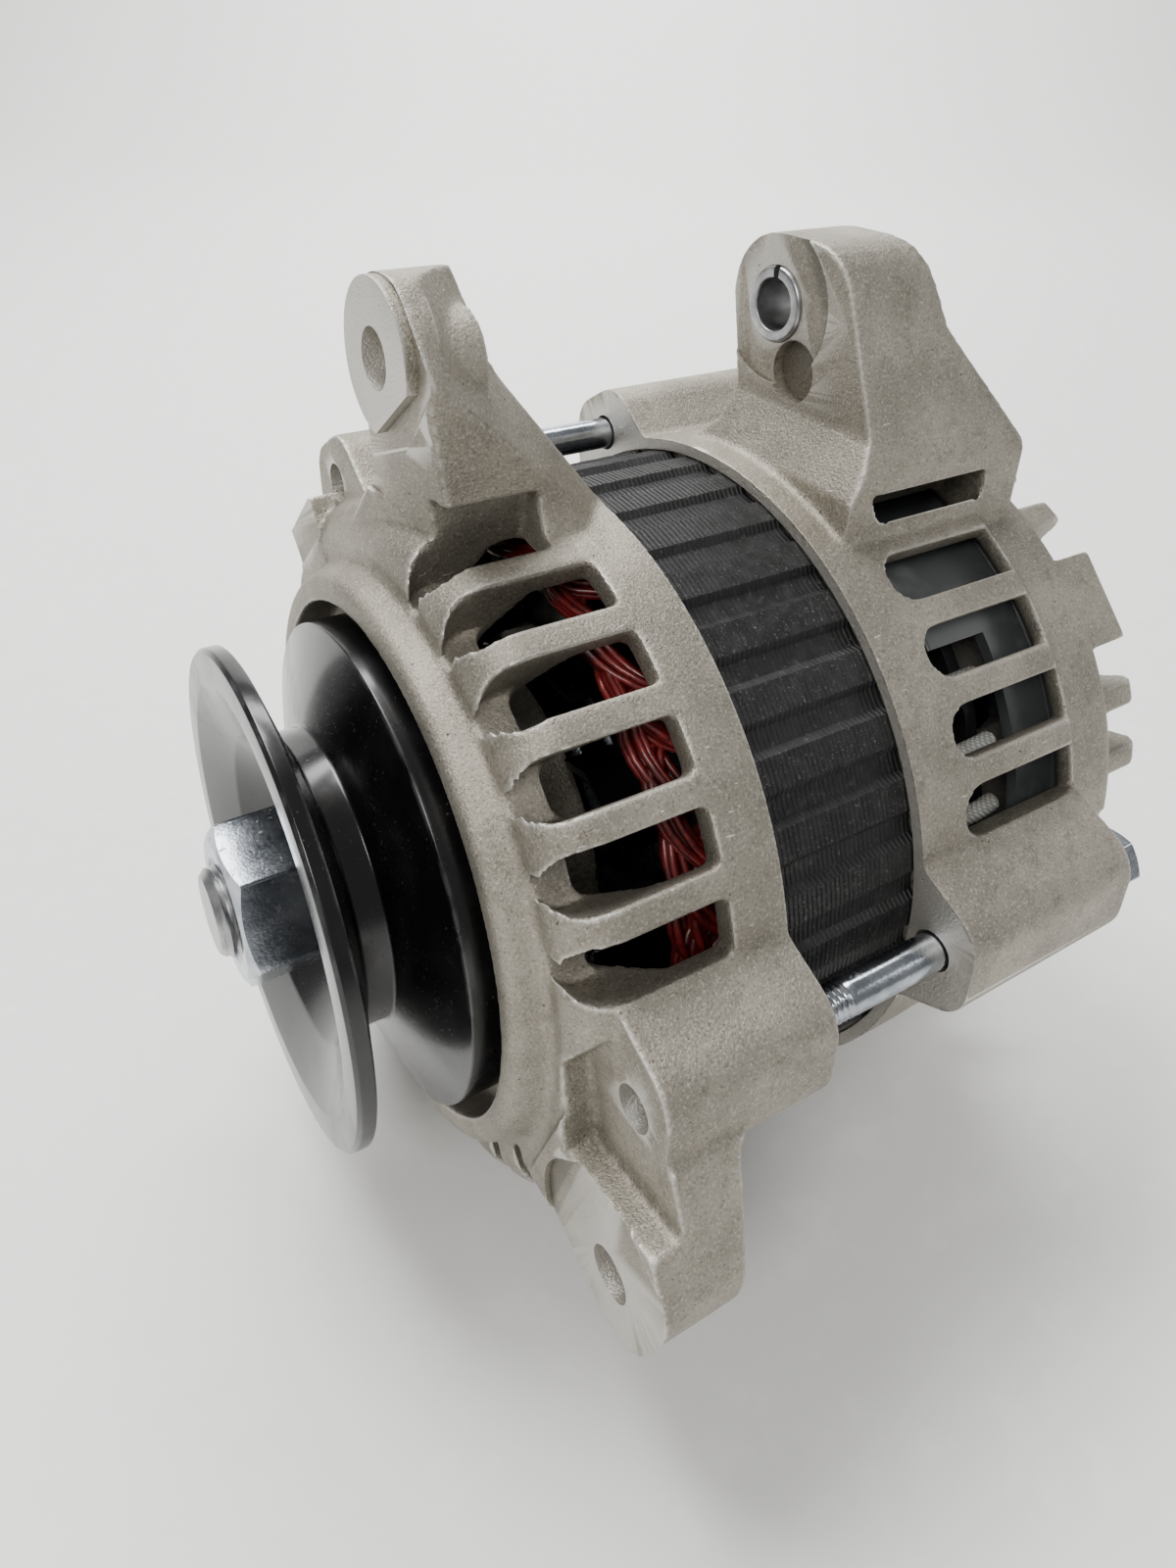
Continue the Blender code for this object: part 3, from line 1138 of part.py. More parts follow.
def make_claw_pole(name, mirrored, turn):
    outer = STACK_BORE - AIR_GAP
    start = ROTOR_AT
    disc_end = start + POLE_DISC
    tip = ROTOR_END_AT - CLAW_SHORT
    blank = [
        (start, CORE_RADIUS + GAP),
        (start, outer - CLAW_EDGE),
        (start + CLAW_EDGE, outer),
        (tip - CLAW_EDGE / 2, outer),
        (tip, outer - CLAW_EDGE / 2),
        (tip, outer - CLAW_TIP_DEPTH),
        (disc_end + OVERRUN, outer - CLAW_ROOT_DEPTH),
        (disc_end, outer - CLAW_ROOT_DEPTH - OVERRUN),
        (disc_end, CORE_RADIUS + GAP),
    ]
    pole = turned(blank, ROUND_STEPS)
    pitch = 2 * pi * outer / POLE_COUNT
    root_gap = (pitch - CLAW_ROOT_WIDTH) / 2
    tip_gap = (pitch - CLAW_TIP_WIDTH) / 2
    inner = outer - CLAW_ROOT_DEPTH - 2 * OVERRUN
    gap_outline = [
        (start - OVERRUN, -root_gap),
        (disc_end, -root_gap),
        (tip + OVERRUN, -tip_gap),
        (tip + OVERRUN, tip_gap),
        (disc_end, root_gap),
        (start - OVERRUN, root_gap),
    ]
    gaps = outward_block(gap_outline, inner, outer + OVERRUN)
    gaps = spun(gaps, [2 * pi * i / POLE_COUNT + turn for i in range(POLE_COUNT)])
    if mirrored:
        middle = ROTOR_AT + ROTOR_LENGTH / 2
        flip = Matrix.Translation((0, 0, 2 * middle)) @ Matrix.Rotation(pi, 4, "X")
        pole.transform(flip)
        gaps.transform(flip)
    cut(piece(name, pole, "bare_steel", ROTOR), cutter(name + "_gaps", gaps))


def make_field_coil():
    start = ROTOR_AT + POLE_DISC + GAP
    length = ROTOR_LENGTH - 2 * (POLE_DISC + GAP)
    piece("field_coil", ring(start, length, CORE_RADIUS + GAP, COIL_RADIUS), "copper", ROTOR)


def make_fan(name, start, side):
    """A pressed steel plate with swept blades standing on the side away from the poles."""
    plate_at = start if side > 0 else start - FAN_PLATE
    fan = piece(name, ring(plate_at, FAN_PLATE, CORE_RADIUS + GAP, FAN_PLATE_RADIUS), "black_steel", ROTOR)
    half = FAN_BLADE_THICKNESS / 2
    steps = 2
    near_side = []
    far_side = []
    for i in range(steps + 1):
        share = i / steps
        radius = FAN_BLADE_FOOT_RADIUS + (FAN_RADIUS - FAN_BLADE_FOOT_RADIUS) * share
        angle = FAN_BLADE_SWEEP * share * share
        near_side.append(polar(radius, angle - half / radius))
        far_side.append(polar(radius, angle + half / radius))
    blade_at = plate_at + FAN_PLATE / 2
    if side < 0:
        blade_at = plate_at + FAN_PLATE / 2 - FAN_BLADE_HEIGHT
    blade = flat([near_side + far_side[::-1]], blade_at, FAN_BLADE_HEIGHT)
    blades = spun(blade, [2 * pi * i / FAN_BLADE_COUNT for i in range(FAN_BLADE_COUNT)])
    join(fan, cutter(name + "_blades", blades))


def make_slip_rings():
    piece(
        "slip_ring_sleeve", ring(SLEEVE_AT, SLIP_SLEEVE_LENGTH, JOURNAL_RADIUS + GAP, SLIP_SLEEVE_RADIUS),
        "black_plastic", ROTOR,
    )
    first_at = SLEEVE_AT + (SLIP_SLEEVE_LENGTH - 2 * SLIP_RING_WIDTH - SLIP_RING_SPACE) / 2
    places = []
    for index in range(2):
        ring_at = first_at + index * (SLIP_RING_WIDTH + SLIP_RING_SPACE)
        band = ring(ring_at, SLIP_RING_WIDTH, SLIP_SLEEVE_RADIUS + GAP, SLIP_RING_RADIUS)
        piece("slip_ring_" + str(index + 1), band, "copper", ROTOR)
        places.append(ring_at + SLIP_RING_WIDTH / 2)
    return places


def make_diode(name, circle_radius, angle, seat_at):
    """A pressed diode in front of its heat sink, with its wire up to the terminal plate."""
    front_at = seat_at - GAP - DIODE_HEIGHT
    tip_at = TERMINAL_PLATE_AT + TERMINAL_PLATE_THICKNESS + GAP
    diode = turned([
        (tip_at, 0),
        (tip_at, DIODE_WIRE_RADIUS),
        (front_at, DIODE_WIRE_RADIUS),
        (front_at, DIODE_RADIUS),
        (seat_at - GAP, DIODE_RADIUS),
        (seat_at - GAP, 0),
    ], SMALL_STEPS)
    diode.transform(Matrix.Translation((*polar(circle_radius, angle), 0)))
    piece(name, diode, "zinc_steel")


def make_rectifier():
    start = RECTIFIER_START
    end = RECTIFIER_END
    negative_at = WALL_INSIDE_AT - GAP - NEGATIVE_SINK_THICKNESS
    outline = sector(NEGATIVE_SINK_INNER, NEGATIVE_SINK_OUTER, start, end)
    piece("heat_sink_negative", flat([outline], negative_at, NEGATIVE_SINK_THICKNESS), "cast_aluminium")
    outline = sector(POSITIVE_SINK_INNER, POSITIVE_SINK_OUTER, start, end)
    plate = flat([outline], POSITIVE_SINK_AT, POSITIVE_SINK_THICKNESS)
    plate = piece("heat_sink_positive", plate, "cast_aluminium")
    hole = rod(
        POSITIVE_SINK_AT - OVERRUN, POSITIVE_SINK_THICKNESS + 2 * OVERRUN, STUD_RADIUS + GAP,
        polar(POSITIVE_DIODE_CIRCLE, STUD_ANGLE),
    )
    cut(plate, cutter("heat_sink_stud_hole", hole))
    for index, angle in enumerate(NEGATIVE_DIODE_ANGLES):
        make_diode("diode_negative_" + str(index + 1), NEGATIVE_DIODE_CIRCLE, angle, negative_at)
    for index, angle in enumerate(POSITIVE_DIODE_ANGLES):
        make_diode("diode_positive_" + str(index + 1), POSITIVE_DIODE_CIRCLE, angle, POSITIVE_SINK_AT)

    spread = TERMINAL_PLATE_SPREAD
    outline = sector(TERMINAL_PLATE_INNER, TERMINAL_PLATE_OUTER, start - spread, end + spread)
    plate = flat([outline], TERMINAL_PLATE_AT, TERMINAL_PLATE_THICKNESS)
    plate = piece("diode_terminal_plate", plate, "black_plastic")
    post_at = TERMINAL_PLATE_AT + TERMINAL_PLATE_THICKNESS / 2
    posts = []
    for angle in (start - spread + POST_INSET, end + spread - POST_INSET):
        posts.append(rod(post_at, WALL_INSIDE_AT - GAP - post_at, POST_RADIUS, polar(POST_CIRCLE, angle)))
    join(plate, cutter("terminal_plate_posts", merged(posts)))


def make_baffle():
    deep = REAR_SHOULDER_RADIUS - WALL - GAP
    end = WALL_INSIDE_AT - INNER_BREAK - GAP
    start = end - BAFFLE_LENGTH
    inner = BAFFLE_RADIUS - BAFFLE_WALL
    baffle = turned([
        (start, inner),
        (start, BAFFLE_RADIUS),
        (end - BAFFLE_RIM_LENGTH, BAFFLE_RADIUS),
        (end - BAFFLE_RIM_LENGTH, deep),
        (end, deep),
        (end, inner),
    ], SHELL_STEPS)
    baffle = piece("rear_baffle", baffle, "grey_plastic")
    notch = sector(
        inner - OVERRUN, BAFFLE_RADIUS + OVERRUN, BAFFLE_NOTCH_START, BAFFLE_NOTCH_END, SMALL_STEPS
    )
    depth = BAFFLE_NOTCH_DEPTH + OVERRUN
    cut(baffle, cutter("baffle_notch", flat([notch], start - OVERRUN, depth)))


def make_leads():
    """The three ends of the winding, in sleeving, run back and bend in to the terminal plate."""
    start_at = STACK_AT + STACK_LENGTH + TURNS_LENGTH + 2 * GAP
    end_at = TERMINAL_PLATE_AT + TERMINAL_PLATE_THICKNESS / 2
    end_radius = TERMINAL_PLATE_OUTER + LEAD_END_GAP
    shares = [(0, 0), (0.3, 1), (0.6, 1), (0.85, 0.5)]
    for index, angle in enumerate(LEAD_ANGLES):
        path = []
        for along, bow in shares:
            radius = LEAD_START_RADIUS + (LEAD_BOW_RADIUS - LEAD_START_RADIUS) * bow
            path.append((*polar(radius, angle), start_at + (end_at - start_at) * along))
        path.append((*polar(end_radius, angle), end_at))
        piece("stator_lead_" + str(index + 1), tube(path, LEAD_RADIUS, 1), "sleeving")


def make_output_stud():
    centre = polar(POSITIVE_DIODE_CIRCLE, STUD_ANGLE)
    place = Matrix.Translation((*centre, 0))
    head_at = POSITIVE_SINK_AT - GAP - STUD_HEAD_HEIGHT
    stud = rod(head_at + STUD_HEAD_HEIGHT / 2, STUD_LENGTH, STUD_RADIUS, centre)
    head = cutter("stud_head", flat([hexagon(STUD_NUT_FLATS)], head_at, STUD_HEAD_HEIGHT, place))
    join(piece("output_stud", stud, "zinc_steel"), head)
    bore = STUD_RADIUS + GAP
    sleeve_at = POSITIVE_SINK_AT + POSITIVE_SINK_THICKNESS + GAP
    flange_at = BACK_FACE_AT + GAP
    flange_end = flange_at + INSULATOR_FLANGE
    insulator = turned([
        (sleeve_at, bore),
        (sleeve_at, INSULATOR_RADIUS),
        (flange_at, INSULATOR_RADIUS),
        (flange_at, INSULATOR_FLANGE_RADIUS),
        (flange_end, INSULATOR_FLANGE_RADIUS),
        (flange_end, bore),
    ], 2 * SMALL_STEPS)
    insulator.transform(place)
    piece("stud_insulator", insulator, "black_plastic")
    washer = ring(flange_end + GAP, STUD_WASHER_THICKNESS, bore, STUD_WASHER_RADIUS, 2 * SMALL_STEPS)
    washer.transform(place)
    piece("stud_washer", washer, "zinc_steel")
    nut_at = flange_end + STUD_WASHER_THICKNESS + 2 * GAP
    nut = flat([hexagon(STUD_NUT_FLATS), circle(bore, 2 * SMALL_STEPS)], nut_at, STUD_NUT_HEIGHT, place)
    piece("stud_nut", nut, "zinc_steel")


def make_brush_gear(ring_places):
    """Brushes that slide radially in the holder, pressed on the slip rings by coil springs."""
    foot = SLIP_RING_RADIUS + GAP
    heel = foot + BRUSH_LENGTH
    spring_end = heel + GAP + SPRING_LENGTH
    holder = outward_block(
        rectangle(SLEEVE_AT, SLEEVE_AT + HOLDER_LENGTH, -HOLDER_HALF_WIDTH, HOLDER_HALF_WIDTH),
        HOLDER_INNER_RADIUS, HOLDER_OUTER_RADIUS, BRUSH_ANGLE,
    )
    holder = piece("brush_holder", holder, "black_plastic")
    flange = rectangle(-REGULATOR_HALF_WIDTH, REGULATOR_HALF_WIDTH, REGULATOR_INNER, REGULATOR_OUTER)
    flange_at = SLEEVE_AT + HOLDER_LENGTH
    flange = flat([flange], flange_at - FLANGE_THICKNESS / 2, FLANGE_THICKNESS * 1.5, facing(BRUSH_ANGLE))
    join(holder, cutter("holder_flange", flange))
    along = BRUSH_BREADTH / 2 + GAP
    across = BRUSH_WIDTH / 2 + GAP
    channels = []
    for index, ring_at in enumerate(ring_places):
        channel = rectangle(ring_at - along, ring_at + along, -across, across)
        channels.append(outward_block(channel, foot - OVERRUN, spring_end + GAP, BRUSH_ANGLE))
        slide = carrier("brush_slide_" + str(index + 1), HOUSING, Matrix.Translation((0, 0, ring_at)))
        outline = rectangle(-BRUSH_BREADTH / 2, BRUSH_BREADTH / 2, -BRUSH_WIDTH / 2, BRUSH_WIDTH / 2)
        piece("brush_" + str(index + 1), outward_block(outline, foot, heel, BRUSH_ANGLE), "carbon", slide)
        low = heel + GAP + SPRING_WIRE_RADIUS
        rise = SPRING_LENGTH - 2 * SPRING_WIRE_RADIUS
        steps = SPRING_TURNS * SMALL_STEPS
        coil = []
        for i in range(steps + 1):
            x, z = polar(SPRING_COIL_RADIUS, 2 * pi * i / SMALL_STEPS)
            coil.append((x, -low - rise * i / steps, ring_at + z))
        piece("brush_spring_" + str(index + 1), tube(coil, SPRING_WIRE_RADIUS), "bare_steel")
    cut(holder, cutter("brush_channels", merged(channels)))

    outline = rectangle(-REGULATOR_HALF_WIDTH, REGULATOR_HALF_WIDTH, REGULATOR_INNER, REGULATOR_OUTER)
    body = flat([outline], REGULATOR_AT, REGULATOR_LENGTH, facing(BRUSH_ANGLE))
    piece("regulator", body, "black_plastic")


def make_socket():
    """The socket stands through the back wall; its blades rise from one strip behind its floor."""
    strip_at = REGULATOR_AT + REGULATOR_LENGTH + GAP
    floor_at = strip_at + TERMINAL_THICKNESS + GAP
    end = floor_at + SOCKET_LENGTH
    middle = (SOCKET_INNER + SOCKET_OUTER) / 2
    side = SOCKET_HALF_WIDTH
    body = flat([rectangle(-side, side, SOCKET_INNER, SOCKET_OUTER)], floor_at, SOCKET_LENGTH, facing(0))
    well = rectangle(
        SOCKET_WALL - side, side - SOCKET_WALL, SOCKET_INNER + SOCKET_WALL, SOCKET_OUTER - SOCKET_WALL
    )
    well = flat([well], floor_at + SOCKET_WALL, SOCKET_LENGTH, facing(0))
    blade_half = TERMINAL_WIDTH / 2
    thick = TERMINAL_THICKNESS / 2
    slots = []
    blades = []
    for i in range(TERMINAL_COUNT):
        across = (i - (TERMINAL_COUNT - 1) / 2) * TERMINAL_PITCH
        outline = rectangle(across - blade_half, across + blade_half, middle - thick, middle + thick)
        blades.append(flat([outline], strip_at + thick, TERMINAL_LENGTH, facing(0)))
        outline = rectangle(
            across - blade_half - GAP, across + blade_half + GAP, middle - thick - GAP, middle + thick + GAP
        )
        slots.append(flat([outline], floor_at - OVERRUN, SOCKET_WALL + 2 * OVERRUN, facing(0)))
    reach = TERMINAL_PITCH + blade_half + GAP
    strip = rectangle(-reach, reach, middle - TERMINAL_WIDTH, middle + TERMINAL_WIDTH)
    strip = flat([strip], strip_at, TERMINAL_THICKNESS, facing(0))
    slots = merged(slots)
    blades = merged(blades)
    for mesh in (body, well, slots, blades, strip):
        mesh.transform(Matrix.Rotation(BRUSH_ANGLE, 4, "Z"))
    cut(piece("plug_socket", body, "black_plastic"), cutter("socket_well", well), cutter("socket_slots", slots))
    join(piece("socket_terminals", strip, "copper"), cutter("terminal_blades", blades))


def finish_pieces():
    """Round forms are shaded smooth, and flat faces that the cutters split become whole again."""
    for item in PARTS.objects:
        if item.type != "MESH":
            continue
        item.data.shade_smooth()
        item.data.set_sharp_from_angle(angle=SMOOTH_ANGLE)
        if item.modifiers:
            whole = item.modifiers.new("whole_faces", "DECIMATE")
            whole.decimate_type = "DISSOLVE"
            whole.angle_limit = FLAT_ANGLE


make_pulley()
make_shaft()
make_pulley_fasteners()
make_bearing(
    "front_bearing", FRONT_BEARING_AT, FRONT_BEARING_WIDTH, JOURNAL_RADIUS + GAP, FRONT_INNER_RING_RADIUS,
    FRONT_OUTER_RING_BORE, FRONT_BEARING_RADIUS, FRONT_BALL_RADIUS, FRONT_CAGE,
)
make_bearing(
    "rear_bearing", REAR_BEARING_AT, REAR_BEARING_WIDTH, REAR_JOURNAL_RADIUS + GAP, REAR_INNER_RING_RADIUS,
    REAR_OUTER_RING_BORE, REAR_BEARING_RADIUS, REAR_BALL_RADIUS, REAR_CAGE,
)
make_retainer()
make_front_bracket()
make_rear_bracket()
make_through_bolts()
make_stator_core()
make_winding()
make_claw_pole("front_claw_pole", False, 0)
make_claw_pole("rear_claw_pole", True, pi / POLE_COUNT)
make_field_coil()
make_fan("front_fan", ROTOR_AT - GAP, -1)
make_fan("rear_fan", ROTOR_END_AT + GAP, 1)
SLIP_RING_PLACES = make_slip_rings()
make_rectifier()
make_baffle()
make_leads()
make_output_stud()
make_brush_gear(SLIP_RING_PLACES)
make_socket()
finish_pieces()
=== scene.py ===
# %% [markdown]
# # An engine alternator, dressed for the camera
# The plain solids of this machine come from a CAD model. Here each visible one gets the shape and
# the finish that it has on the bench: blasted castings, a gloss black pulley, varnished steel plates,
# red enamelled wire. The CAD model is loaded first, because every new piece must sit where it says.

# %% The frame and its box
import random
from math import atan2, ceil, cos, pi, radians, sin, tan

import bmesh
import bpy
from mathutils import Matrix, Vector


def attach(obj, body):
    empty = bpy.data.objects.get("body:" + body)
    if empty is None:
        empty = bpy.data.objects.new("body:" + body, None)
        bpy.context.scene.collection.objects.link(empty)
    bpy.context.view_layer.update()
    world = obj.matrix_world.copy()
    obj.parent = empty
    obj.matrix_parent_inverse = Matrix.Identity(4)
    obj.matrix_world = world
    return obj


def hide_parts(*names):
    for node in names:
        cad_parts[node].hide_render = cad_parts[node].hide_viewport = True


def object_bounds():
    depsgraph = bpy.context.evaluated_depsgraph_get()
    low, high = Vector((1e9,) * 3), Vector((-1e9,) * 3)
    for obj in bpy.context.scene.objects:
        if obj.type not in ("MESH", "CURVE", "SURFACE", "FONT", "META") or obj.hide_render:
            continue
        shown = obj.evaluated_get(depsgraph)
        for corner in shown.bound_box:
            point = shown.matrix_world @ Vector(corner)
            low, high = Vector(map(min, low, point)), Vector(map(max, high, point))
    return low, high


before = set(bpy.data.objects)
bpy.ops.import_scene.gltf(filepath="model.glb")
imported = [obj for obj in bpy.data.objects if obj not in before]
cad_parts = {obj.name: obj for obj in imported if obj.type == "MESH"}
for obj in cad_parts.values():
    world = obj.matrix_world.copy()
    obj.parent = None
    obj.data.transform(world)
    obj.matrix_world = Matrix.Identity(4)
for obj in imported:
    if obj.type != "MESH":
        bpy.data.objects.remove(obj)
CAD_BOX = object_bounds()
print("CAD box, mm:", [round(1000 * side, 1) for side in CAD_BOX[1] - CAD_BOX[0]])

# %% [markdown]
# ## Where the camera stood
# The picture was taken from close by, so near things look large. Its angle, distance and focal
# length were worked out beforehand from round and straight edges, such as the pulley's two rims.
# The camera is placed from those numbers: three directions make its rotation, right, up and back.

# %% The camera
CAMERA_PLACE = (-0.051188, -0.134191, 0.041160)
CAMERA_TURN = radians(-31.462)
CAMERA_RISE = radians(29.233)
CAMERA_ROLL = radians(1.365)


def aim_camera():
    flat_share = cos(CAMERA_RISE)
    back = Vector((sin(CAMERA_TURN) * flat_share, -cos(CAMERA_TURN) * flat_share, sin(CAMERA_RISE)))
    level = Vector((cos(CAMERA_TURN), sin(CAMERA_TURN), 0))
    above = back.cross(level)
    right = level * cos(CAMERA_ROLL) + above * sin(CAMERA_ROLL)
    up = above * cos(CAMERA_ROLL) - level * sin(CAMERA_ROLL)
    camera = bpy.data.objects.new("camera", bpy.data.cameras.new("camera"))
    bpy.context.scene.collection.objects.link(camera)
    camera.matrix_world = Matrix.Translation(CAMERA_PLACE) @ Matrix((right, up, back)).transposed().to_4x4()
    camera.data.lens = 25.0
    camera.data.sensor_width = 36.0
    camera.data.shift_x = 0.0129
    camera.data.shift_y = -0.1081
    camera.data.clip_start = 0.005
    bpy.context.scene.camera = camera
    return camera


print("camera at", tuple(aim_camera().location))

# %% [markdown]
# ## Floor and light
# The part lies on a plain pale table in soft light. A window above and behind draws the bright
# edges on the castings, softboxes at the near left and right fill the front, a wide lamp lights
# the backdrop, and a pale surround keeps the shadows open.


# %% The table and the lamps
def add_table(reach=1.3, bend=0.6, height=1.5, half_width=2.5, steps=24):
    """A pale sheet that lies flat under the part and bends up behind it, so no edge shows."""
    shape = bmesh.new()
    profile = [(-reach, 0)]
    for i in range(steps + 1):
        angle = pi / 2 * i / steps
        profile.append((reach + bend * sin(angle), bend - bend * cos(angle)))
    profile.append((reach + bend, height))
    verts = [shape.verts.new((-half_width, along, rise)) for along, rise in profile]
    edges = [shape.edges.new(pair) for pair in zip(verts, verts[1:])]
    swept = bmesh.ops.extrude_edge_only(shape, edges=edges)
    moved = [item for item in swept["geom"] if isinstance(item, bmesh.types.BMVert)]
    bmesh.ops.translate(shape, verts=moved, vec=(2 * half_width, 0, 0))
    bmesh.ops.recalc_face_normals(shape, faces=shape.faces)
    under = Matrix.Translation((0, 0, CAD_BOX[0].z - 0.0002))
    bmesh.ops.transform(shape, matrix=under @ Matrix.Rotation(CAMERA_TURN, 4, "Z"), verts=shape.verts)
    mesh = bpy.data.meshes.new("table")
    shape.to_mesh(mesh)
    shape.free()
    mesh.shade_smooth()
    table = bpy.data.objects.new("table", mesh)
    bpy.context.scene.collection.objects.link(table)
    return table


def add_lamp(name, place, size, power, target=(0.045, 0, -0.07), colour=(1, 1, 1)):
    lamp = bpy.data.objects.new(name, bpy.data.lights.new(name, "AREA"))
    bpy.context.scene.collection.objects.link(lamp)
    lamp.data.size = size
    lamp.data.energy = power
    lamp.data.color = colour
    lamp.location = place
    aim = Vector(target) - Vector(place)
    lamp.rotation_mode = "QUATERNION"
    lamp.rotation_quaternion = aim.to_track_quat("-Z", "Y")
    return lamp


table = add_table()
add_lamp("window", (-0.15, 0.3, 0.7), 0.4, 9.5)
add_lamp("left_softbox", (-0.45, -0.45, 0.5), 0.3, 4.5, colour=(1, 0.98, 0.95))
add_lamp("right_softbox", (0.7, -0.5, 0.35), 0.4, 1.5)
add_lamp("backdrop_lamp", (0.5, 0.8, 1.3), 1.0, 55.0, (1.0, 1.6, 0.2))
surround = bpy.data.worlds.new("surround")
surround.use_nodes = True
surround.node_tree.nodes["Background"].inputs["Color"].default_value = (0.93, 0.94, 0.95, 1)
surround.node_tree.nodes["Background"].inputs["Strength"].default_value = 0.36
bpy.context.scene.world = surround

# %% [markdown]
# ## Shader sums
# A finish is a small sum: colour here, a little rougher there, a mask times a second mask. Blender
# keeps such sums as nodes. The class below wraps one socket, so that `1 - mask` in Python adds the
# Math node for it, and a second class adds any other node in one call.


# %% A socket that can be added and multiplied
class Value:
    def __init__(self, finish, socket):
        self.finish = finish
        self.socket = socket

    def __add__(self, other):
        return self.finish.maths("ADD", self, other)

    def __radd__(self, other):
        return self.finish.maths("ADD", other, self)

    def __sub__(self, other):
        return self.finish.maths("SUBTRACT", self, other)

    def __rsub__(self, other):
        return self.finish.maths("SUBTRACT", other, self)

    def __mul__(self, other):
        return self.finish.maths("MULTIPLY", self, other)

    def __abs__(self):
        return self.finish.maths("ABSOLUTE", self)

    def between(self, low, high):
        """0 below low and 1 above high, with a soft step; low may be the larger one."""
        settings = {"interpolation_type": "SMOOTHSTEP"}
        inputs = {"Value": self, "From Min": low, "From Max": high}
        return self.finish.node("ShaderNodeMapRange", settings, inputs, "Result")


# %% A finish and its nodes
class Finish:
    def __init__(self, name, **constants):
        self.material = bpy.data.materials.new(name)
        self.material.use_nodes = True
        self.tree = self.material.node_tree
        self.shader = self.tree.nodes["Principled BSDF"]
        self.place = self.node("ShaderNodeTexCoord", {}, {}, "Object")
        for name, value in constants.items():
            self.shader.inputs[name.replace("_", " ").title()].default_value = value

    def feed(self, socket, value):
        if isinstance(value, Value):
            self.tree.links.new(value.socket, socket)
        else:
            socket.default_value = value

    def node(self, kind, settings, inputs, output=0):
        made = self.tree.nodes.new(kind)
        for name, value in settings.items():
            setattr(made, name, value)
        for name, value in inputs.items():
            self.feed(made.inputs[name], value)
        return Value(self, made.outputs[output])

    def maths(self, operation, first, second=0):
        return self.node("ShaderNodeMath", {"operation": operation}, {0: first, 1: second})

    def moved(self, offset=(0, 0, 0), scale=(1, 1, 1), turn=(0, 0, 0)):
        inputs = {"Vector": self.place, "Location": offset, "Rotation": turn, "Scale": scale}
        return self.node("ShaderNodeMapping", {}, inputs)

    def noise(self, grain, detail=2.0, place=None, rough=0.5):
        """Soft cloudy values, one cloud about as wide as grain."""
        inputs = {"Vector": place or self.place, "Scale": 1 / grain, "Detail": detail, "Roughness": rough}
        return self.node("ShaderNodeTexNoise", {}, inputs, 0)

    def wave(self, pitch, kind, axis, place=None, wander=0.0, detail=1.0):
        """Bands along an axis, or rings round it, one every pitch."""
        settings = {"wave_type": kind, kind.lower() + "_direction": axis}
        inputs = {
            "Vector": place or self.place, "Scale": 2 * pi / 20 / pitch,
            "Distortion": wander, "Detail": detail,
        }
        return self.node("ShaderNodeTexWave", settings, inputs, "Fac")

    def mix(self, first, second, share):
        settings = {"data_type": "RGBA"}
        inputs = {"Factor": share, 6: first, 7: second}
        return self.node("ShaderNodeMix", settings, inputs, 2)

    def dress(self, colour=None, roughness=None, height=None, depth=0.0001, strength=1.0, **others):
        """Links what changes over the surface; height is a bump that is depth metres tall."""
        if colour:
            self.feed(self.shader.inputs["Base Color"], colour)
        if roughness:
            self.feed(self.shader.inputs["Roughness"], roughness)
        for name, value in others.items():
            self.feed(self.shader.inputs[name.replace("_", " ").title()], value)
        if height:
            inputs = {"Height": height, "Distance": depth, "Strength": strength}
            self.feed(self.shader.inputs["Normal"], self.node("ShaderNodeBump", {}, inputs))
        return self.material


def tint(red, green, blue):
    """A colour read off a screen, 0 to 255, as the linear light that a shader wants."""
    parts = [part / 255 for part in (red, green, blue)]
    return (*(part / 12.92 if part < 0.04045 else ((part + 0.055) / 1.055) ** 2.4 for part in parts), 1)


MM = 0.001
PIVOT_RISE = 83.2  # the pivot, where the model has its origin, above the shaft
PIVOT_AT = 24.6  # and behind the pulley's front face
print("0.5 grey on a screen is", round(tint(128, 128, 128)[0], 3), "in linear light")

# %% [markdown]
# ## Cast aluminium
# Both brackets are die cast and then blasted with fine beads. Up close the skin is a fine grain
# about a third of a millimetre across, with slow grey clouds, a few dark pores and small bright
# nicks. Grain and clouds are noise at two sizes, and pores are the rare peaks of a third one.


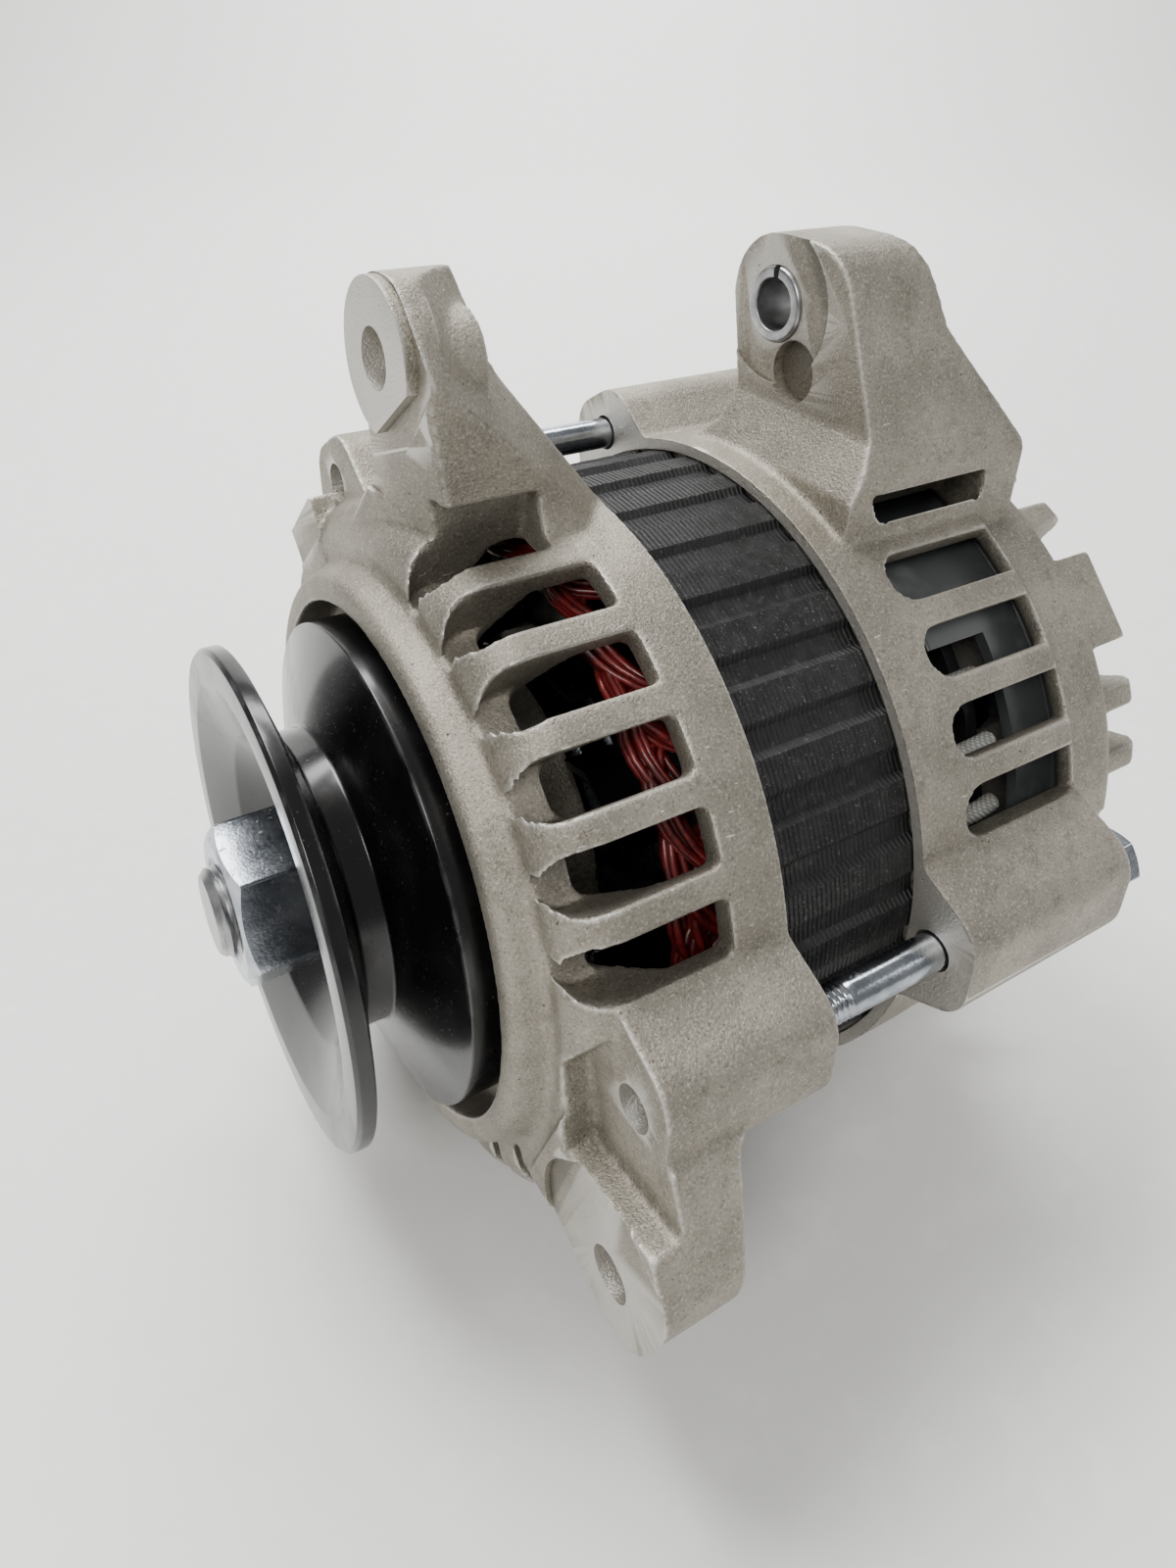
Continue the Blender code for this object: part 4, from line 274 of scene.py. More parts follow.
# %% Cast and machined aluminium
def cast_aluminium():
    finish = Finish("cast_aluminium", metallic=0.85)
    grain = finish.noise(0.42 * MM, 3.0, rough=0.6)
    fine = finish.noise(0.17 * MM, 2.0)
    clouds = finish.noise(13 * MM, 3.0)
    blotch = finish.noise(3.2 * MM, 4.0)
    pores = finish.noise(0.9 * MM, 2.0).between(0.72, 0.78)
    streak = finish.noise(1.0 * MM, 2.0, finish.moved(scale=(0.25, 1, 2.4), turn=(0.4, 0.3, 0.9)))
    nicks = streak.between(0.735, 0.79)
    bend = finish.node("ShaderNodeNewGeometry", {}, {}, "Pointiness")
    worn = bend.between(0.515, 0.56)
    # painted shade: concave hollows, found by the surface's pointiness, are darkened
    hollow_shade = bend.between(0.49, 0.44)
    colour = finish.mix(tint(134, 129, 118), tint(158, 152, 140), clouds.between(0.3, 0.7))
    colour = finish.mix(colour, tint(112, 107, 97), blotch.between(0.5, 0.75) * 0.5)
    colour = finish.mix(colour, tint(196, 191, 180), grain.between(0.52, 0.72) * 0.6)
    colour = finish.mix(colour, tint(88, 84, 76), grain.between(0.46, 0.3) * 0.6)
    colour = finish.mix(colour, tint(74, 70, 63), hollow_shade * 0.6)
    colour = finish.mix(colour, tint(222, 219, 212), worn * 0.55)
    colour = finish.mix(colour, tint(44, 41, 37), pores * 0.8)
    colour = finish.mix(colour, tint(235, 234, 230), nicks * 0.7)
    roughness = 0.42 + grain * 0.2 - worn * 0.1 - nicks * 0.15
    height = grain * 1.0 + fine * 0.4 + blotch * 0.7 - pores * 0.9 - nicks * 0.5
    return finish.dress(colour, roughness, height, 0.16 * MM, 1.0)


def machined_aluminium():
    finish = Finish("machined_aluminium", metallic=1.0)
    cuts = finish.wave(0.42 * MM, "RINGS", "X", wander=0.6)
    haze = finish.noise(2.5 * MM, 4.0)
    marks = finish.noise(0.8 * MM, 2.0).between(0.68, 0.76)
    colour = finish.mix(tint(120, 118, 115), tint(146, 144, 140), haze.between(0.35, 0.7))
    colour = finish.mix(colour, tint(88, 85, 80), marks * 0.6)
    return finish.dress(colour, 0.3 + haze * 0.22, cuts * 0.6 + haze * 0.4, 0.02 * MM, 0.7)


CAST = cast_aluminium()
MACHINED = machined_aluminium()

# %% [markdown]
# ## Steel: black, zinc plated, ground, and the varnished plates
# The pulley is turned and then coated gloss black, so fine turning rings still show in its shine and
# its edges are rubbed bare, with a grey rim line that is partly a painted highlight. Bolts and nuts have
# a thin bluish zinc plating. The stator's plates are punched from thin sheet, stacked, welded and
# dipped in black varnish.


# %% Black coated steel
def on_shaft(finish, scale=(1, 1, 1)):
    """The place, measured from the shaft's middle line, which runs along X below the pivot."""
    return finish.moved(offset=(0, 0, PIVOT_RISE * MM), scale=scale)


def shaft_radius(finish):
    centred = on_shaft(finish, (0, 1, 1))
    return finish.node("ShaderNodeVectorMath", {"operation": "LENGTH"}, {0: centred}, "Value")


def black_coat():
    finish = Finish("black_coat", coat_roughness=0.08)
    cuts = finish.wave(0.33 * MM, "RINGS", "X", on_shaft(finish), 0.4)
    dust = finish.noise(0.5 * MM, 2.0).between(0.66, 0.74) * finish.noise(9 * MM, 2.0).between(0.42, 0.62)
    film = finish.noise(7 * MM, 5.0).between(0.4, 0.8)
    along = finish.node("ShaderNodeSeparateXYZ", {}, {0: finish.place}, "X")
    rim = shaft_radius(finish).between(39.7 * MM, 40.3 * MM)
    lips = 0
    for lip, soft, full in ((0, 0.75, 0.25), (2.75, 0.55, 0.15), (17, 0.55, 0.15)):
        lips = lips + abs(along + (PIVOT_AT - lip) * MM).between(soft * MM, full * MM)
    # rubbed bare rim edges, and partly a painted highlight: a thin grey line along the pulley's rims
    rubbed_and_highlight = rim * lips * finish.noise(5 * MM, 3.0).between(0.4, 0.7)
    colour = finish.mix(tint(6, 6, 7), tint(14, 14, 15), film)
    colour = finish.mix(colour, tint(80, 78, 73), dust * 0.4)
    colour = finish.mix(colour, tint(110, 110, 112), rubbed_and_highlight * 0.4)
    roughness = 0.2 + film * 0.1 + dust * 0.3
    return finish.dress(
        colour, roughness, cuts * 0.5 + film * 0.3 + dust, 0.014 * MM, 0.6, metallic=rubbed_and_highlight * 0.5,
        coat_weight=0.1 - rubbed_and_highlight * 0.1,
    )


# %% Zinc plating, ground steel and varnished plates
def zinc_plate():
    finish = Finish("zinc_plate", metallic=1.0)
    grain = finish.noise(0.5 * MM, 4.0)
    clouds = finish.noise(4 * MM, 3.0)
    marks = finish.noise(1.2 * MM, 3.0).between(0.64, 0.74)
    colour = finish.mix(tint(136, 142, 149), tint(180, 185, 191), clouds.between(0.3, 0.7))
    colour = finish.mix(colour, tint(90, 90, 90), marks * 0.6)
    return finish.dress(colour, 0.12 + grain * 0.16 + marks * 0.2, grain + clouds, 0.03 * MM, 0.7)


def ground_steel():
    finish = Finish("ground_steel", metallic=1.0)
    cuts = finish.wave(0.2 * MM, "BANDS", "X", on_shaft(finish), 1.2, 2.0)
    haze = finish.noise(3 * MM, 4.0)
    colour = finish.mix(tint(142, 142, 143), tint(178, 178, 179), haze.between(0.35, 0.7))
    return finish.dress(colour, 0.24 + haze * 0.2, cuts * 0.6 + haze * 0.4, 0.012 * MM, 0.6)


def varnished_plates():
    finish = Finish("varnished_plates", metallic=0.35)
    runs = finish.noise(2.2 * MM, 4.0)
    specks = finish.noise(0.6 * MM, 2.0).between(0.66, 0.72)
    bare = finish.noise(1.1 * MM, 3.0).between(0.62, 0.72)
    ribs = shaft_radius(finish).between(56.9 * MM, 57.15 * MM)
    edges = finish.noise(0.3 * MM, 2.0).between(0.6, 0.74) * ribs
    colour = finish.mix(tint(17, 17, 18), tint(33, 33, 34), runs.between(0.35, 0.7))
    colour = finish.mix(colour, tint(120, 118, 112), specks * 0.3)
    colour = finish.mix(colour, tint(84, 83, 80), bare * 0.25)
    colour = finish.mix(colour, tint(140, 138, 133), edges * 0.35)
    return finish.dress(colour, 0.4 + runs * 0.3, runs + specks, 0.08 * MM, 0.8)


BLACK = black_coat()
ZINC = zinc_plate()
STEEL = ground_steel()
PLATES = varnished_plates()

# %% [markdown]
# ## Wire, plastics, carbon and sleeving
# The winding is copper wire under a clear dark red enamel, so it shines like lacquer. Plastics are
# moulded, with a faint orange-peel skin. Brushes are pressed carbon with bright copper grains, and
# the three leads wear woven glass sleeves.


# %% Wire, copper and carbon
def red_enamel():
    finish = Finish("red_enamel", coat_weight=0.25, coat_roughness=0.14)
    along = finish.noise(5 * MM, 3.0)
    fine = finish.noise(0.7 * MM, 3.0)
    colour = finish.mix(tint(58, 8, 10), tint(112, 22, 22), along.between(0.3, 0.7))
    colour = finish.mix(colour, tint(26, 5, 6), fine.between(0.5, 0.72) * 0.8)
    return finish.dress(colour, 0.3 + fine * 0.25, fine, 0.03 * MM, 0.6, metallic=0.1 + along * 0.1)


def bare_copper():
    finish = Finish("bare_copper", metallic=1.0)
    haze = finish.noise(2 * MM, 4.0)
    colour = finish.mix(tint(170, 100, 66), tint(214, 142, 104), haze.between(0.3, 0.7))
    return finish.dress(colour, 0.26 + haze * 0.25, haze, 0.02 * MM, 0.6)


def pressed_carbon():
    finish = Finish("pressed_carbon", metallic=0.2)
    grains = finish.noise(0.25 * MM, 2.0).between(0.66, 0.74)
    cloud = finish.noise(1.5 * MM, 3.0)
    colour = finish.mix(tint(38, 38, 40), tint(140, 92, 66), grains * 0.7)
    return finish.dress(colour, 0.5 + cloud * 0.2, cloud + grains, 0.02 * MM, 0.8)


# %% Plastics and woven sleeving
def moulded_plastic(name, dark, light, roughness):
    finish = Finish(name)
    peel = finish.noise(0.7 * MM, 2.0)
    dust = finish.noise(6 * MM, 4.0).between(0.5, 0.75)
    colour = finish.mix(dark, light, dust * 0.8)
    return finish.dress(colour, roughness + dust * 0.2, peel, 0.03 * MM, 0.5)


def woven_sleeve():
    finish = Finish("woven_sleeve")
    one = finish.wave(0.55 * MM, "BANDS", "DIAGONAL")
    two = finish.wave(0.55 * MM, "BANDS", "DIAGONAL", finish.moved(scale=(1, -1, 1)))
    weave = one * two
    stain = finish.noise(3 * MM, 3.0).between(0.45, 0.7)
    colour = finish.mix(tint(128, 130, 126), tint(196, 198, 192), weave)
    colour = finish.mix(colour, tint(112, 96, 74), stain * 0.45)
    return finish.dress(colour, 0.62 + weave * 0.2, weave, 0.12 * MM, 0.9)


WIRE = red_enamel()
COPPER = bare_copper()
CARBON = pressed_carbon()
BLACK_PLASTIC = moulded_plastic("black_plastic", tint(20, 20, 21), tint(44, 43, 42), 0.42)
GREY_PLASTIC = moulded_plastic("grey_plastic", tint(56, 59, 60), tint(78, 80, 80), 0.38)
SLEEVE = woven_sleeve()
table.data.materials.append(moulded_plastic("table_top", tint(232, 232, 230), tint(238, 238, 236), 0.5))
print("finishes:", len(bpy.data.materials))

# %% [markdown]
# ## Finishes for the CAD solids that stay
# Inner pieces whose shape is already right keep their CAD mesh and only change finish. The record
# names a material slot for each node, so one table from slot to finish dresses them all.

# %% Dress the CAD nodes
SLOT_FINISH = {
    "cast_aluminium": CAST, "black_steel": BLACK, "zinc_steel": ZINC, "bare_steel": STEEL,
    "lamination": PLATES, "enamelled_wire": WIRE, "copper": COPPER, "black_plastic": BLACK_PLASTIC,
    "grey_plastic": GREY_PLASTIC, "carbon": CARBON, "sleeving": SLEEVE,
}
for name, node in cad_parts.items():
    for slot in node.material_slots:
        known = slot.material.name.split(".")[0] if slot.material else ""
        slot.material = SLOT_FINISH.get(known, STEEL)
print("CAD nodes dressed:", len(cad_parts))

# %% [markdown]
# ## Drawing tools
# Every new piece is drawn in millimetres on the shaft: Z runs back along it from the pulley's front
# face, Y points up to the pivot ears and X to the far side. One matrix then puts it in the model's
# place. A round piece is half an outline that `spin` turns once round, a flat one is an outline
# that is extruded, and castings are joined and cut with booleans.

# %% From shaft millimetres to the model's metres
TO_WORLD = Matrix.Scale(MM, 4) @ Matrix((
    (0, 0, 1, -PIVOT_AT), (1, 0, 0, 0), (0, 1, 0, -PIVOT_RISE), (0, 0, 0, 1),
))
FINE = 160


def polar(radius, angle):
    return (radius * cos(angle), radius * sin(angle))


def rounded(corners, step=radians(15)):
    """The outline through corners (x, y) or (x, y, radius), with an arc at each radius."""
    path = []
    for index, corner in enumerate(corners):
        here = Vector(corner[:2])
        if len(corner) < 3:
            path.append(tuple(here))
            continue
        back = (Vector(corners[index - 1][:2]) - here).normalized()
        ahead = (Vector(corners[(index + 1) % len(corners)][:2]) - here).normalized()
        half = back.angle(ahead) / 2
        centre = here + (back + ahead).normalized() * corner[2] / sin(half)
        first = here + back * corner[2] / tan(half) - centre
        last = here + ahead * corner[2] / tan(half) - centre
        start = atan2(first.y, first.x)
        turn = (atan2(last.y, last.x) - start + pi) % (2 * pi) - pi
        steps = max(2, ceil(abs(turn) / step))
        for i in range(steps + 1):
            x, y = polar(corner[2], start + turn * i / steps)
            path.append((centre.x + x, centre.y + y))
    return path


def mesh_from(shape, name="shape"):
    bmesh.ops.recalc_face_normals(shape, faces=shape.faces)
    mesh = bpy.data.meshes.new(name)
    shape.to_mesh(mesh)
    shape.free()
    return mesh


# %% Turned, flat and joined shapes
def turned(profile, steps=FINE):
    """A solid of revolution about the shaft from (along, radius) or (along, radius, round) corners."""
    outline = rounded(profile)
    shape = bmesh.new()
    verts = [shape.verts.new((radius, 0, along)) for along, radius in outline]
    for first, second in zip(verts, verts[1:]):
        shape.edges.new((first, second))
    if min(radius for along, radius in outline) > 0:
        shape.edges.new((verts[-1], verts[0]))
    bmesh.ops.spin(
        shape, geom=shape.verts[:] + shape.edges[:], cent=(0, 0, 0), axis=(0, 0, 1), angle=2 * pi,
        steps=steps, use_merge=True, use_duplicate=False,
    )
    bmesh.ops.remove_doubles(shape, verts=shape.verts, dist=0.001)
    return mesh_from(shape, "turned")


def flat(outline, start, length, place=Matrix()):
    """An outline (x, y) made solid along the shaft, then placed."""
    shape = bmesh.new()
    face = shape.faces.new([shape.verts.new((x, y, start)) for x, y in outline])
    grown = bmesh.ops.extrude_face_region(shape, geom=[face])
    moved = [item for item in grown["geom"] if isinstance(item, bmesh.types.BMVert)]
    bmesh.ops.translate(shape, verts=moved, vec=(0, 0, length))
    bmesh.ops.transform(shape, matrix=place, verts=shape.verts)
    return mesh_from(shape, "flat")


def rod(start, length, radius, centre=(0, 0), steps=48):
    shape = bmesh.new()
    place = Matrix.Translation((*centre, start + length / 2))
    bmesh.ops.create_cone(
        shape, cap_ends=True, segments=steps, radius1=radius, radius2=radius, depth=length, matrix=place
    )
    return mesh_from(shape, "rod")


def merged(meshes):
    shape = bmesh.new()
    for mesh in meshes:
        shape.from_mesh(mesh)
    return mesh_from(shape, "merged")


def spun(mesh, angles):
    copies = []
    for angle in angles:
        copy = mesh.copy()
        copy.transform(Matrix.Rotation(angle, 4, "Z"))
        copies.append(copy)
    return merged(copies)


# %% Placing matrices
def facing(angle):
    """For an outline drawn as (across, rise) at an angle round the shaft."""
    return Matrix.Rotation(angle - pi / 2, 4, "Z")


def lengthwise(angle):
    """For an outline drawn as (along, radius) in the plane through the shaft at an angle."""
    return Matrix.Rotation(angle, 4, "Z") @ Matrix(((0, 1, 0, 0), (0, 0, 1, 0), (1, 0, 0, 0), (0, 0, 0, 1)))


def outward_block(outline, inner, outer, angle=0.0):
    """An outline drawn as (along, round), solid from one radius out to another."""
    turn = Matrix.Rotation(angle, 4, "Z") @ Matrix(((0, 0, -1, 0), (0, 1, 0, 0), (1, 0, 0, 0), (0, 0, 0, 1)))
    return flat(outline, -outer, outer - inner, turn)


# %% Objects, booleans and finished pieces
def on_bench(mesh):
    item = bpy.data.objects.new("work", mesh)
    bpy.context.scene.collection.objects.link(item)
    return item


def workpiece(mesh, index=0):
    """A mesh on the bench, with all its faces in one material slot: 0 is cast, 1 is machined."""
    mesh.polygons.foreach_set("material_index", [index] * len(mesh.polygons))
    return on_bench(mesh)


def baked(item):
    """The mesh with its modifiers applied; the bench object and its tools go."""
    bpy.context.view_layer.update()
    mesh = bpy.data.meshes.new_from_object(item.evaluated_get(bpy.context.evaluated_depsgraph_get()))
    for step in list(item.modifiers):
        if step.type == "BOOLEAN":
            bpy.data.objects.remove(step.object)
    bpy.data.objects.remove(item)
    return mesh


def combined(mesh, operation, tools, solver="EXACT", index=0):
    """Joins or cuts a mesh with tools; where they cut, the faces take slot index."""
    item = on_bench(mesh) if index else workpiece(mesh)
    for tool in tools:
        step = item.modifiers.new("step", "BOOLEAN")
        step.operation = operation
        step.solver = solver
        step.object = workpiece(tool, index)
    return baked(item)


def piece(name, mesh, finishes, body, nodes=(), smooth=radians(32)):
    """Puts a mesh drawn on the shaft into the model as one finished object."""
    mesh.transform(TO_WORLD)
    mesh.name = name
    mesh.materials.clear()
    for finish in finishes:
        mesh.materials.append(finish)
    mesh.shade_smooth()
    mesh.set_sharp_from_angle(angle=smooth)
    item = bpy.data.objects.new(name, mesh)
    bpy.context.scene.collection.objects.link(item)
    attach(item, body)
    if nodes:
        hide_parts(*nodes)
    print(name, len(mesh.polygons), "faces")
    return item


# %% [markdown]
# ## The shared plan of both brackets
# Three through bolts hold the two brackets together, and between each pair of bolts stand eight
# cooling slots. The numbers below repeat the CAD model's, so the dressed castings fill its place.

# %% Bolts, slots and bosses
BOLTS = [radians(58.4) + 2 * pi * i / 3 for i in range(3)]
SLOT_PITCH = radians(12.3)
FIRST_SLOT = (2 * pi / 3 - 7 * SLOT_PITCH) / 2
SLOTS = [bolt + FIRST_SLOT + SLOT_PITCH * i for bolt in BOLTS for i in range(8)]
BOLT_CIRCLE = 62.2
RIM = 59.4
PIVOT = radians(90)
ADJUST = radians(201.5)
ADJUST_RISE = 70.4
EAR_SLOT = SLOTS[2]
EAR_ROOM = (radians(82), radians(9))
BLOCK = radians(47.5)
FIN_OUTER = 54.4
FIN_THICK = 4.4
OUTPUT_ANGLE = radians(38)
OUTPUT = polar(43.2, OUTPUT_ANGLE)


def near(angle, place, reach):
    return abs((angle - place + pi) % (2 * pi) - pi) < reach


def bosses(start, length):
    corners = rounded([
        (-13.5, BOLT_CIRCLE - 6), (13.5, BOLT_CIRCLE - 6), (7.4, BOLT_CIRCLE + 7.4, 7.1),
        (-7.4, BOLT_CIRCLE + 7.4, 7.1),
    ])
    return [flat(corners, start, length, facing(angle)) for angle in BOLTS]


def slot_blocks(start, end, floor, places, front_round=4.05):
    outline = rounded([
        (start, -4.1, front_round), (end, -4.1, 0.9), (end, 4.1, 0.9), (start, 4.1, front_round),
    ])
    return merged([outward_block(outline, floor, RIM + 6, angle) for angle in places])


def clear_of(angles, blocked):
    return [angle for angle in angles if not any(near(angle, place, reach) for place, reach in blocked)]


def open_slots(blocked):
    """The slots' angles, without those where an ear, a block or a tab stands."""
    return clear_of(SLOTS, blocked)


def beyond(first, second, third, size=70):
    """A block that fills the side of a plane to which (second - first) x (third - first) points."""
    across = (Vector(second) - Vector(first)).normalized()
    out = across.cross(Vector(third) - Vector(first)).normalized()
    place = Matrix((across, out.cross(across), out)).transposed().to_4x4()
    place.translation = first
    return flat([(-size, -size), (size, -size), (size, size), (-size, size)], 0, size, place)


# %% [markdown]
# ## How a casting gets its soft edges
# Booleans leave knife edges, which no casting has. The rough shape is rebuilt from small cubes
# (the voxel remesh), its surface is relaxed, which rounds every edge and fills every inner corner
# a little, and it is thinned to a sensible face count. Machining comes after that, as in the
# factory: flat faces and bores are cut last and stay crisp.


# %% Rough casting, then machining
def cast(mesh, grain=0.55, passes=5, faces=150000):
    item = workpiece(mesh)
    rebuilt = item.modifiers.new("rebuild", "REMESH")
    rebuilt.mode = "VOXEL"
    rebuilt.voxel_size = grain
    relaxed = item.modifiers.new("relax", "SMOOTH")
    relaxed.factor = 0.5
    relaxed.iterations = passes
    mesh = baked(item)
    triangles = sum(len(face.vertices) - 2 for face in mesh.polygons)
    if triangles > faces:
        item = workpiece(mesh)
        thinned = item.modifiers.new("thin", "DECIMATE")
        thinned.ratio = faces / triangles
        mesh = baked(item)
    print("casting:", triangles, "triangles, kept", len(mesh.polygons), "faces")
    return mesh


# %% [markdown]
# ## The front bracket
# A die-cast dome with a collar round the pulley's back, the front pivot ear on top, and the tapped
# adjusting ear at the left. Half its outline is turned, and bosses and ears are joined on. Faces to
# be machined are cast half a millimetre proud.


# %% Front bracket: rough casting
SHOULDER = (-14.8, PIVOT_RISE + 0.6, 25.6)


def front_pivot_ear():
    """Wide at its front face, a narrow rib at its back, and bevelled below its near shoulder."""
    face = flat(rounded([
        (10.6, PIVOT_RISE + 10.9, 10), (-4.5, PIVOT_RISE + 10.9, 6), (*SHOULDER[:2], 0.6),
        (-10.5, PIVOT_RISE - 20, 9), (-17, PIVOT_RISE - 34), (20, PIVOT_RISE - 34), (7.2, PIVOT_RISE - 20),
        (7.2, PIVOT_RISE - 15, 7.2), (10.6, PIVOT_RISE),
    ]), 19.5, 37.2, facing(PIVOT))
    side = flat(rounded([
        (25.6, PIVOT_RISE + 13), (37.2, PIVOT_RISE + 13, 3), (40.2, PIVOT_RISE - 2.5, 6), (56.7, RIM),
        (56.7, PIVOT_RISE - 34), (23.1, PIVOT_RISE - 34), (25.6, PIVOT_RISE - 13),
    ]), -40, 80, lengthwise(PIVOT))
    bevel = beyond(SHOULDER, (3.4, PIVOT_RISE - 18.6, 25.6), (-6.7, PIVOT_RISE - 21.7, 29.2))
    rib = beyond((-14, PIVOT_RISE + 0.3, 27.5), (-9, PIVOT_RISE - 22.2, 52), (-2, PIVOT_RISE + 0.8, 40))
    return combined(combined(face, "INTERSECT", [side]), "DIFFERENCE", [bevel, rib])


def adjusting_ear():
    face = flat(rounded([
        (-10.6, ADJUST_RISE + 10.2, 9), (-10.6, ADJUST_RISE - 18), (25, ADJUST_RISE - 18),
        (25, ADJUST_RISE - 4), (10.6, ADJUST_RISE + 10.2, 9),
    ]), 19.5, 37.2, facing(ADJUST))
    side = flat(rounded([
        (24.1, ADJUST_RISE + 13), (36.6, ADJUST_RISE + 13, 3), (40, ADJUST_RISE - 4, 3), (56.7, RIM),
        (56.7, ADJUST_RISE - 18), (23.1, ADJUST_RISE - 18), (24.1, ADJUST_RISE - 10.6),
    ]), -50, 100, lengthwise(ADJUST))
    return combined(face, "INTERSECT", [side])


def front_casting():
    body = turned([
        (19.5, 0), (19.5, 47.4, 2.4), (24.9, 49.4, 1.5), (24.2, 52.4, 1.2), (26, RIM, 8), (57.3, RIM),
        (57.3, 0),
    ])
    spot = merged([rod(24.0, 6, 10.9, (0, PIVOT_RISE)), rod(25, 12.4, 7.6, (-1, PIVOT_RISE - 1.2))])
    block = flat([(-8.6, 60.8), (-7.5, 46.8), (7.5, 46.8), (8.6, 60.8)], 24.1, 12, facing(BLOCK))
    mesh = combined(body, "UNION", [*bosses(29.1, 28.2), front_pivot_ear(), adjusting_ear(), spot, block])
    hollow = turned([
        (17.5, 0), (17.5, 43.5), (27, 43.5, 1.5), (27, 19.8), (31.2, 19.8), (31.2, 23.2), (45.0, 23.2),
        (45.0, 29.5), (31.2, 29.5, 2), (31.2, 46.5, 2), (39.2, 55.4, 4), (60, 55.4), (60, 0),
    ])
    nook = flat([(-51.6, 1.4), (-54.8, -12.6), (-77, -9), (-80, 20), (-58, 11)], 19, 10)
    places = open_slots([
        (EAR_SLOT, SLOT_PITCH / 2), EAR_ROOM, (ADJUST, radians(16)), (BLOCK, radians(7)),
    ])
    tools = [hollow, nook]
    for end, angles in ((47.7, places), (43.6, [EAR_SLOT])):
        tools.append(slot_blocks(24.4, end, 50.0, angles))
        tools.append(slot_blocks(30.6, end, 44.5, angles, 2.6))
    return cast(combined(mesh, "DIFFERENCE", tools))


# %% Front bracket: machining
def front_bracket():
    """Faced and bored: the ear's front is stepped, a raised D round the hole stands proud."""
    rim_face = turned([(56.7, 0), (56.7, 75), (60, 75), (60, 0)])
    register = turned([(55.2, 0), (55.2, 57.5), (60, 57.5), (60, 0)])
    bore = turned([(22, 0), (22, 20.4), (31.2, 20.4), (31.2, 23.8), (47, 23.8), (47, 0)])
    ear = rod(20, 4.6, 16, polar(ADJUST_RISE, ADJUST))
    block = flat([(-10, 63), (-10, 53.5), (10, 53.5), (10, 63)], 20, 4.6, facing(BLOCK))
    hub = turned([(45.5, 0), (45.5, 31), (47, 31), (47, 0)])
    spot = rod(15, 9.6, 14, (0, PIVOT_RISE))
    raised = rod(15, 20, 10.7, (0, PIVOT_RISE))
    chord = flat([
        (-25, PIVOT_RISE + 10), (-25, PIVOT_RISE - 20), (5, PIVOT_RISE - 20), (5, 69.5), (-13.3, PIVOT_RISE),
    ], 10, 30)
    around = flat([(-24, 100), (20, 100), (20, 62), (1, 62), (-24, 86)], 14, 12.2)
    around = combined(around, "DIFFERENCE", [combined(raised, "DIFFERENCE", [chord])])
    holes = [rod(20, 40, 4.25, (0, PIVOT_RISE)), rod(20, 40, 4.0, polar(ADJUST_RISE, ADJUST))]
    holes += [rod(25, 34, 3.3, polar(BOLT_CIRCLE, angle)) for angle in BOLTS]
    holes += [rod(36.8, 11, 2.1, polar(26.4, angle)) for angle in BOLTS]
    tools = [rim_face, register, bore, hub, ear, block, spot, around, *holes]
    mesh = combined(front_casting(), "DIFFERENCE", tools, "MANIFOLD", 1)
    return piece("front_casting", mesh, [CAST, MACHINED], "housing", ["front_bracket"])


front_bracket()

# %% [markdown]
# ## The rear bracket
# The rear cup has longer slots, a finned back with air inlets, the rear bearing's seat and the rear
# pivot ear, which leans back into the cup with a long foot.


# %% Rear bracket: rough casting
def rear_pivot_ear():
    face = flat(rounded([
        (10.6, PIVOT_RISE + 10.9, 10), (-14.2, PIVOT_RISE + 10.9, 10), (-27, PIVOT_RISE - 20, 6),
        (-27, PIVOT_RISE - 34), (20, PIVOT_RISE - 34), (7.2, PIVOT_RISE - 20), (7.2, PIVOT_RISE - 15, 7.2),
        (10.6, PIVOT_RISE),
    ]), 88.3, 38.5, facing(PIVOT))
    side = flat(rounded([
        (92.7, PIVOT_RISE + 13), (108.8, PIVOT_RISE + 13, 3), (112.2, PIVOT_RISE - 1.5, 3),
        (126.8, PIVOT_RISE - 20, 3), (126.8, PIVOT_RISE - 34), (88.3, PIVOT_RISE - 34), (88.3, RIM),
        (92.7, PIVOT_RISE - 15),
    ]), -54, 108, lengthwise(PIVOT))
    return combined(face, "INTERSECT", [side])


def back_places(angles):
    """The angles that stay clear of the output stud and of the plug socket."""
    return clear_of(angles, [(OUTPUT_ANGLE, radians(12)), (-PIVOT, radians(26))])


